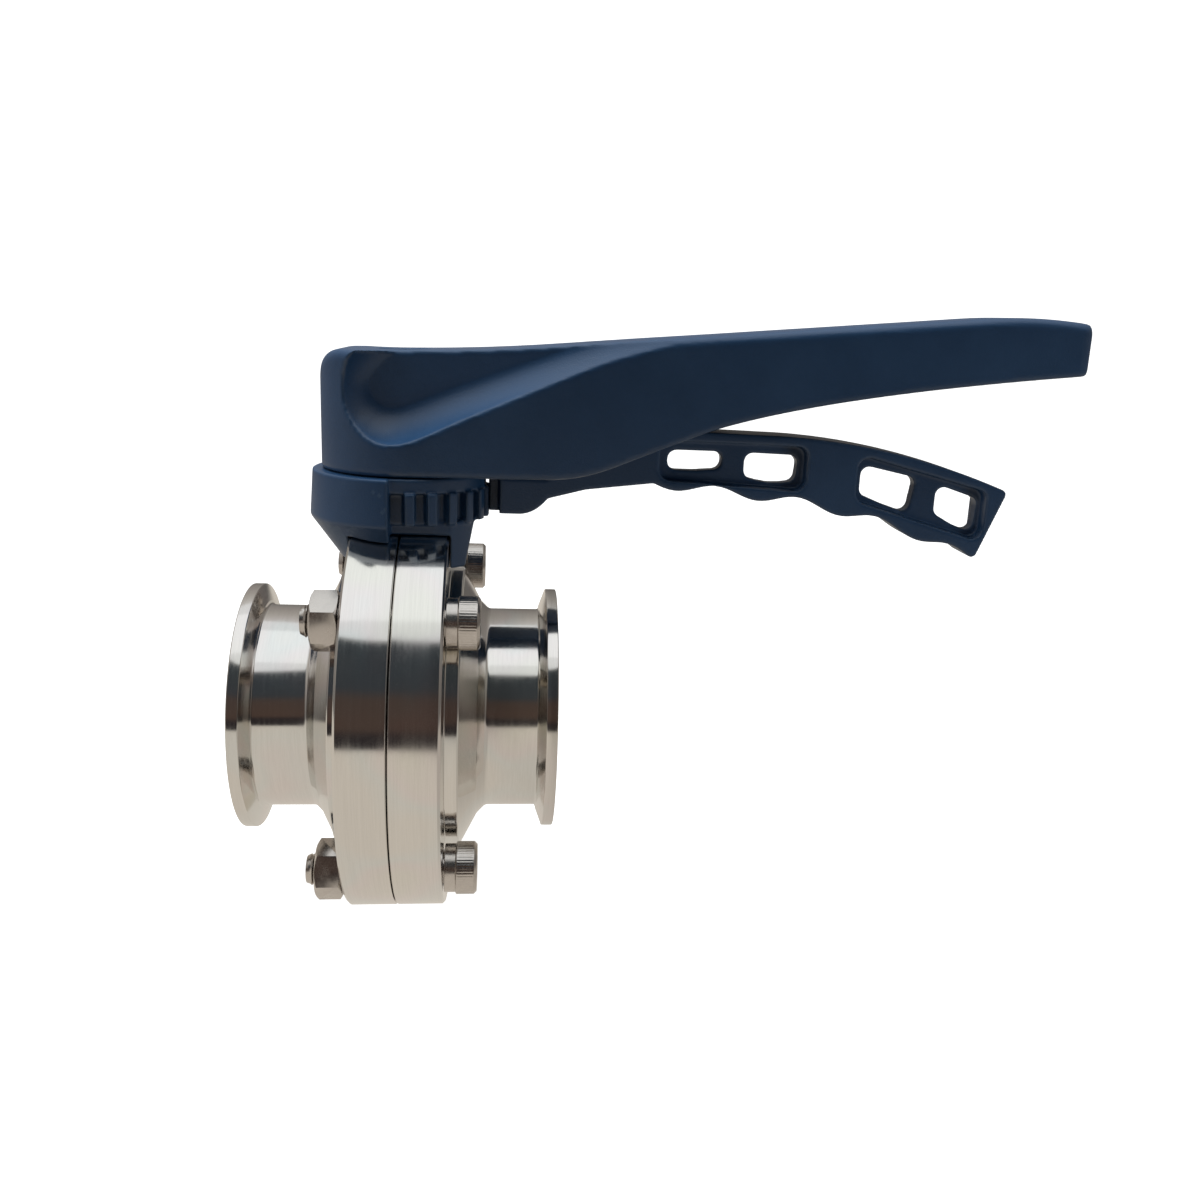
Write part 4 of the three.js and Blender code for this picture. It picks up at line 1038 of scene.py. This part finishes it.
SIDE_LINE = [(FLAT_X, hub_z)]
SIDE_LINE += curve_through(SIDE_LINE[-1], bottom_at(0), bottom_at(NECK_FILLET), 8)
SIDE_LINE.append(bottom_at(NECK_RUN))
grip_low = (grip_end, hub_z + top_at(grip_end) - TIP_H)
SIDE_LINE += curve_through(SIDE_LINE[-1], bottom_at(2 * NECK_RUN), grip_low, 24)
reach = math.hypot(GRIP_X, GRIP_HALF)
tangent = math.atan2(GRIP_HALF, GRIP_X) + math.acos(hub_r / reach)
TANGENT_X = hub_r * math.cos(tangent)
TANGENT_Y = hub_r * math.sin(tangent)


def lever_section(x):
    """The lever's cross-section: half width, and side heights with rounded upper and lower edges."""
    width = half_width_at(x)
    low = underside_at(x)
    high = hub_z + top_at(x)
    from_back = x + hub_r
    if from_back < HUB_CORNER:
        high -= HUB_CORNER - math.sqrt(HUB_CORNER ** 2 - (HUB_CORNER - from_back) ** 2)
    from_tip = grip_end - x
    if from_tip < TIP_EDGE:
        ease = TIP_EDGE - math.sqrt(TIP_EDGE ** 2 - (TIP_EDGE - from_tip) ** 2)
        low += ease
        high -= ease
    upper = min(TOP_EDGE_R, 0.8 * width)
    lower = min(LOW_EDGE_R, 0.8 * width)
    right = arc((width - lower, low + lower), lower, -90, 0, 4)
    right += arc((width - upper, high - upper), upper, 0, 90, 8)
    return right + [(-y, z) for y, z in reversed(right)]


def lever_blank():
    """The lever's outside, lofted through sections that crowd together at the hub's back and the tip."""
    quarter = math.pi / 2
    back = [-hub_r * math.cos(quarter * (i + 0.3) / HUB_SECTIONS) for i in range(HUB_SECTIONS)]
    middle = [(grip_end - TIP_ROUND) * i / LEVER_SECTIONS for i in range(LEVER_SECTIONS)]
    tip = [grip_end - TIP_ROUND * (1 - math.sin(quarter * i / TIP_SECTIONS)) for i in range(TIP_SECTIONS)]
    work = bmesh.new()
    rings = [
        [work.verts.new(Vector((x, y, z)) * MM) for y, z in lever_section(x)]
        for x in [*back, *middle, *tip, grip_end - 0.02]
    ]
    for ring, after in zip(rings, rings[1:]):
        for k in range(len(ring)):
            n = (k + 1) % len(ring)
            work.faces.new([ring[k], ring[n], after[n], after[k]])
    work.faces.new(rings[0])
    work.faces.new(rings[-1])
    return link("lever", mesh_from(work, "lever"))


def scoop_cutter(side):
    """The hollow on one side: its floor lies SCOOP_FLOOR from the middle and its edges sweep outwards."""
    line = spline([(x, hub_z + top_at(x) - drop) for x, drop in SCOOP_EDGE])
    work = bmesh.new()
    loops = []
    for k in range(SCOOP_RINGS + 1):
        lift = math.pi / 2 * k / SCOOP_RINGS
        grow = SCOOP_BLEND * math.sin(lift) ** SCOOP_SLOPE
        out = SCOOP_FLOOR + SCOOP_DEPTH * (1 - math.cos(lift) ** SCOOP_SLOPE)
        loops.append((grow, out))
    loops.append((SCOOP_BLEND, SCOOP_FLOOR + SCOOP_DEPTH + SCOOP_CLEAR))
    rows = []
    for grow, out in loops:
        row = []
        for i, point in enumerate(line):
            ahead = line[min(i + 1, len(line) - 1)] - line[max(i - 1, 0)]
            normal = Vector((ahead.y, -ahead.x)).normalized()
            spot = point + normal * grow
            row.append(work.verts.new(Vector((spot.x, side * out, spot.y)) * MM))
        for x in SCOOP_SPAN:
            row.append(work.verts.new(Vector((x, side * out, hub_z + SCOOP_TOP)) * MM))
        rows.append(row)
    for row, after in zip(rows, rows[1:]):
        for i in range(len(row)):
            n = (i + 1) % len(row)
            work.faces.new([row[i], row[n], after[n], after[i]])
    work.faces.new(rows[0])
    work.faces.new(rows[-1])
    return link("scoop", mesh_from(work, "scoop"))


lever = lever_blank()
slot_foot = hub_z - OVERCUT
slot_view = [(SLOT_X, slot_foot), (SLOT_END, slot_foot), *top_edge(SLOT_END, SLOT_X, ROOF)]
socket = SQUARE / 2 + GAP
socket_view = [(x * socket, y * socket) for x, y in square_corners]
carve(lever, [
    scoop_cutter(-1),
    scoop_cutter(1),
    prism("slot", slot_view, "y", -SLOT_HALF, SLOT_HALF),
    prism("socket", socket_view, "z", slot_foot, stem_high + GAP),
    drill(SCREW_HOLE_R, hub_z, hub_z + COUNTERBORE + OVERCUT, "z"),
    drill(WASHER_R + GAP, hub_z + COUNTERBORE, hub_z + HUB_TOP + 4, "z"),
])
lever = moulding("squeeze_lever", [lever], LEVER_SKIN, SKIN_PASSES)
carve(lever, [drill(PIN_R + GAP, -SLOT_HALF - PIN_BLIND, hub_r, "y", (PIVOT_X, hub_z + PIVOT_H), 48)])
finish_piece(lever, blue_nylon, "handle_and_disc", ["handle"], 50)

# ---- Handle screw and washer ---------------------------------------------------------------------
# A stainless M6 socket screw and a flat washer lie in the recess on top of the hub.
# They hold the handle down on the stem's square.

SCREW_R = 3.0
SCREW_HEAD_R = 5.0
SCREW_HEAD_H = 6.0
SCREW_KEY_FLATS = 5.0
SCREW_KEY_DEPTH = 3.0

washer_low, washer_high = (corner.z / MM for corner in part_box("handle_washer"))
washer_outline = rounded([
    (SCREW_HOLE_R, washer_low, 0.15), (WASHER_R, washer_low, 0.25),
    (WASHER_R, washer_high, 0.25), (SCREW_HOLE_R, washer_high, 0.15),
])
washer = lathe("lever_washer", in_metres(washer_outline), "z", 96)
finish_piece(washer, fastener_steel, "handle_and_disc", ["handle_washer"])

screw_foot, screw_top = (corner.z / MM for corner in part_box("handle_screw"))
head_foot = screw_top - SCREW_HEAD_H
lever_screw_outline = rounded([
    (0.0, screw_foot, 0), (SCREW_R - 0.5, screw_foot, 0.1), (SCREW_R, screw_foot + 0.7, 0.2),
    (SCREW_R, head_foot, 0), (SCREW_HEAD_R, head_foot, 0.25), (SCREW_HEAD_R, screw_top - 0.5, 0.2),
    (SCREW_HEAD_R - 0.5, screw_top, 0.3), (0.0, screw_top, 0),
])
lever_screw = lathe("lever_screw", in_metres(lever_screw_outline), "z", 96)
lever_key = arc((0, 0), SCREW_KEY_FLATS / math.sqrt(3), 0, 300, 5)
carve(lever_screw, [prism("key", lever_key, "z", screw_top - SCREW_KEY_DEPTH, screw_top + OVERCUT)])
finish_piece(lever_screw, fastener_steel, "handle_and_disc", ["handle_screw"])

# ---- Trigger -------------------------------------------------------------------------------------
# A nylon moulding that hangs from a pin in the handle's slot. Its nose carries the locking tooth,
# finger waves run along its underside, and pockets and windows lighten it.

trigger_low, trigger_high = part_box("trigger")
tail_x = trigger_high.x / MM
TRIGGER_HALF = 6.0
WEB_HALF = 2.0
TONGUE_X = 24.1
TONGUE_NECK = 36.4
TOOTH_HALF = 1.13
NOSE_DROP = 10.4
NOSE_TOP = 1.3
NOSE_FLAT = 5.0
NOSE_ROUND = 4.0
NOSE_LIFT = 4.2
BELLY = 3.6
TRIGGER_ARC = 180.0
CREST_X = 92.0
TRIGGER_TOP = 12.0
WAVE_PITCH = 22.0
WAVE_FIRST = 69.0
WAVE_SIZE = 1.25
WAVE_DEPTH = 13.9
WAVE_GROWTH = 0.09
WAVE_STEPS = 60
CREST_STEPS = 30
TAIL_UNDERCUT = 7.8
TAIL_ROUND = 1.5
TAIL_CORNER = 1.6
PIVOT_BOSS = 5.4
# An opening starts and ends at shares of the trigger's length behind the pin. Its lower edge has a
# depth at its front and at its back; a window's also sags, and its back side leans.
POCKETS = [(0.165, 0.51, 12.4, 14.0), (0.63, 0.95, 14.6, 16.0)]
POCKET_TOP = 2.2
POCKET_ROUND = 3.0
WINDOWS = [
    (0.188, 0.315, 10.2, 9.6, 0.3, 0.2),
    (0.368, 0.495, 11.4, 11.9, 1.4, 0.5),
    (0.648, 0.784, 12.8, 15.0, 0.4, 1.4),
    (0.836, 0.942, 12.9, 14.5, 0.6, 0.7),
]
WINDOW_TOP = 5.0
WINDOW_ROUND = 2.3
SAG_ROUND = 20.0


def trigger_top_at(x):
    """Height of the trigger's top edge above the handle's underside: level, then a falling arc."""
    return TRIGGER_TOP - max(0.0, x - CREST_X) ** 2 / (2 * TRIGGER_ARC)


def trigger_bottom_at(x):
    """Height of the finger waves along the trigger's underside."""
    wave = WAVE_SIZE * math.cos(2 * math.pi * (x - WAVE_FIRST) / WAVE_PITCH)
    return trigger_top_at(x) - WAVE_DEPTH - WAVE_GROWTH * (x - WAVE_FIRST) - wave


def opening(start, end, front, back, top, radius, sag=0.0, lean=0.0):
    """The outline of a pocket or window, its upper edge a set distance below the trigger's top edge."""
    first, last = (PIVOT_X + share * (tail_x - PIVOT_X) for share in (start, end))
    corners = [(first, top, radius), (last, top, radius), (last - lean, back, radius)]
    if sag:
        corners.append(((first + last - lean) / 2, (front + back) / 2 + sag, SAG_ROUND))
    corners.append((first, front, radius))
    return rounded([(x, hub_z + trigger_top_at(x) - depth, turn) for x, depth, turn in corners])


tail_bottom = tail_x - TAIL_UNDERCUT
waves_from = WAVE_FIRST - WAVE_PITCH / 4
waves_l = tail_bottom - TAIL_ROUND - waves_from
wave_x = [waves_from + waves_l * i / WAVE_STEPS for i in range(WAVE_STEPS + 1)]
nose_end = TONGUE_X + NOSE_FLAT
nose = [(TONGUE_X, -NOSE_DROP), (nose_end, -NOSE_DROP)]
nose += curve_through(nose[-1], (nose_end + NOSE_ROUND, -NOSE_DROP), (TONGUE_NECK, NOSE_LIFT - NOSE_DROP), 8)
trigger_view = nose + [(PIVOT_X, -BELLY)] + [(x, trigger_bottom_at(x)) for x in wave_x]
tail_low = trigger_bottom_at(tail_bottom)
trigger_view += curve_through(
    trigger_view[-1], (tail_bottom, tail_low), (tail_bottom + 1, tail_low + TAIL_ROUND), 5,
)
tail_top = trigger_top_at(tail_x)
back_x = tail_x - TAIL_CORNER
trigger_view += curve_through(
    (tail_x - 0.6, tail_top - TAIL_CORNER), (tail_x, tail_top), (back_x, trigger_top_at(back_x)), 5,
)
crest_line = [back_x - (back_x - CREST_X) * i / CREST_STEPS for i in range(1, CREST_STEPS + 1)]
trigger_view += [(x, trigger_top_at(x)) for x in crest_line]
trigger_view += arc((PIVOT_X, PIVOT_H), PIVOT_BOSS, 45, 180, 16)
trigger_view += [(TONGUE_NECK, -NOSE_TOP), (TONGUE_X, -NOSE_TOP)]
in_place = [(x, hub_z + z) for x, z in trigger_view]
trigger = prism("trigger body", in_place, "y", -TRIGGER_HALF, TRIGGER_HALF)
past_side = TRIGGER_HALF + OVERCUT
for pocket in POCKETS:
    for low, high in ((-past_side, -WEB_HALF), (WEB_HALF, past_side)):
        carve(trigger, [prism("pocket", opening(*pocket, POCKET_TOP, POCKET_ROUND), "y", low, high)])
for start, end, front, back, sag, lean in WINDOWS:
    edge = opening(start, end, front, back, WINDOW_TOP, WINDOW_ROUND, sag, lean)
    carve(trigger, [prism("window", edge, "y", -past_side, past_side)])
tooth_tip = trigger_low.x / MM - ROUNDED_OFF
tooth_foot = TONGUE_X + 2
locking_view = [
    (tooth_tip, -TOOTH_HALF), (tooth_foot, -TOOTH_HALF), (tooth_foot, TOOTH_HALF), (tooth_tip, TOOTH_HALF),
]
locking_tooth = prism("tooth", locking_view, "z", hub_z - NOSE_DROP, hub_z - NOSE_TOP)
trigger = moulding("squeeze_trigger", [trigger, locking_tooth], SKIN, SKIN_PASSES)
carve(trigger, [drill(PIN_R + GAP, -past_side, past_side, "y", (PIVOT_X, hub_z + PIVOT_H), 48)])
finish_piece(trigger, blue_nylon, "trigger", ["trigger"], 50)

# ---- Pivot pin -----------------------------------------------------------------------------------
# A ground stainless pin, pressed into the handle from the far side and blind in its near wall.
# The trigger swings on it.

pin_low, pin_high = (corner.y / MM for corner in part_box("trigger_pin"))
pin_outline = rounded([
    (0.0, pin_low, 0), (PIN_R, pin_low, 0.4), (PIN_R, pin_high, 0.4), (0.0, pin_high, 0),
])
pin = lathe("pivot_pin", in_metres(pin_outline), "y", 64)
pin.data.transform(Matrix.Translation(Vector((PIVOT_X, 0, hub_z + PIVOT_H)) * MM))
finish_piece(pin, fastener_steel, "handle_and_disc", ["trigger_pin"])

# ---- Trigger spring ------------------------------------------------------------------------------
# A coil of drawn spring wire stands between the trigger's back and the roof of the slot.
# It shortens as the trigger is squeezed.

spring_low, spring_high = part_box("trigger_spring")
WIRE_R = 0.5
spring_x = (spring_low.x + spring_high.x) / 2 / MM
coil_r = (spring_high.x - spring_low.x) / 2 / MM - WIRE_R
COILS = 6
COIL_STEPS = 40
DEAD_TURN = 0.9
CLOSED_PITCH = 2.1 * WIRE_R

path = bpy.data.curves.new("spring", "CURVE")
path.dimensions = "3D"
path.bevel_depth = WIRE_R * MM
path.bevel_resolution = 3
path.use_fill_caps = True
wire = path.splines.new("POLY")
count = COILS * COIL_STEPS
wire.points.add(count)
bottom, top = spring_low.z / MM + WIRE_R, spring_high.z / MM - WIRE_R
live_turns = COILS - 2 * DEAD_TURN
rise = top - bottom - 2 * CLOSED_PITCH * DEAD_TURN
for i, point in enumerate(wire.points):
    turns = COILS * i / count
    inner = min(max(turns - DEAD_TURN, 0), live_turns) / live_turns
    closing = CLOSED_PITCH * (min(turns, DEAD_TURN) + max(turns - COILS + DEAD_TURN, 0))
    angle = 2 * math.pi * turns
    height = bottom + closing + rise * inner
    spot = Vector((spring_x + coil_r * math.cos(angle), coil_r * math.sin(angle), height))
    point.co = (*(spot * MM), 1.0)
coil = link("spring_curve", path)
spring_mesh = bpy.data.meshes.new_from_object(coil.evaluated_get(bpy.context.evaluated_depsgraph_get()))
bpy.data.objects.remove(coil)
spring = link("return_spring", spring_mesh)
spring_steel = worn_steel("spring_steel", (0.50, 0.49, 0.47), (0.22, 0.34), 2e-6)
finish_piece(spring, spring_steel, "handle_and_disc", ["trigger_spring"])
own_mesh(spring)
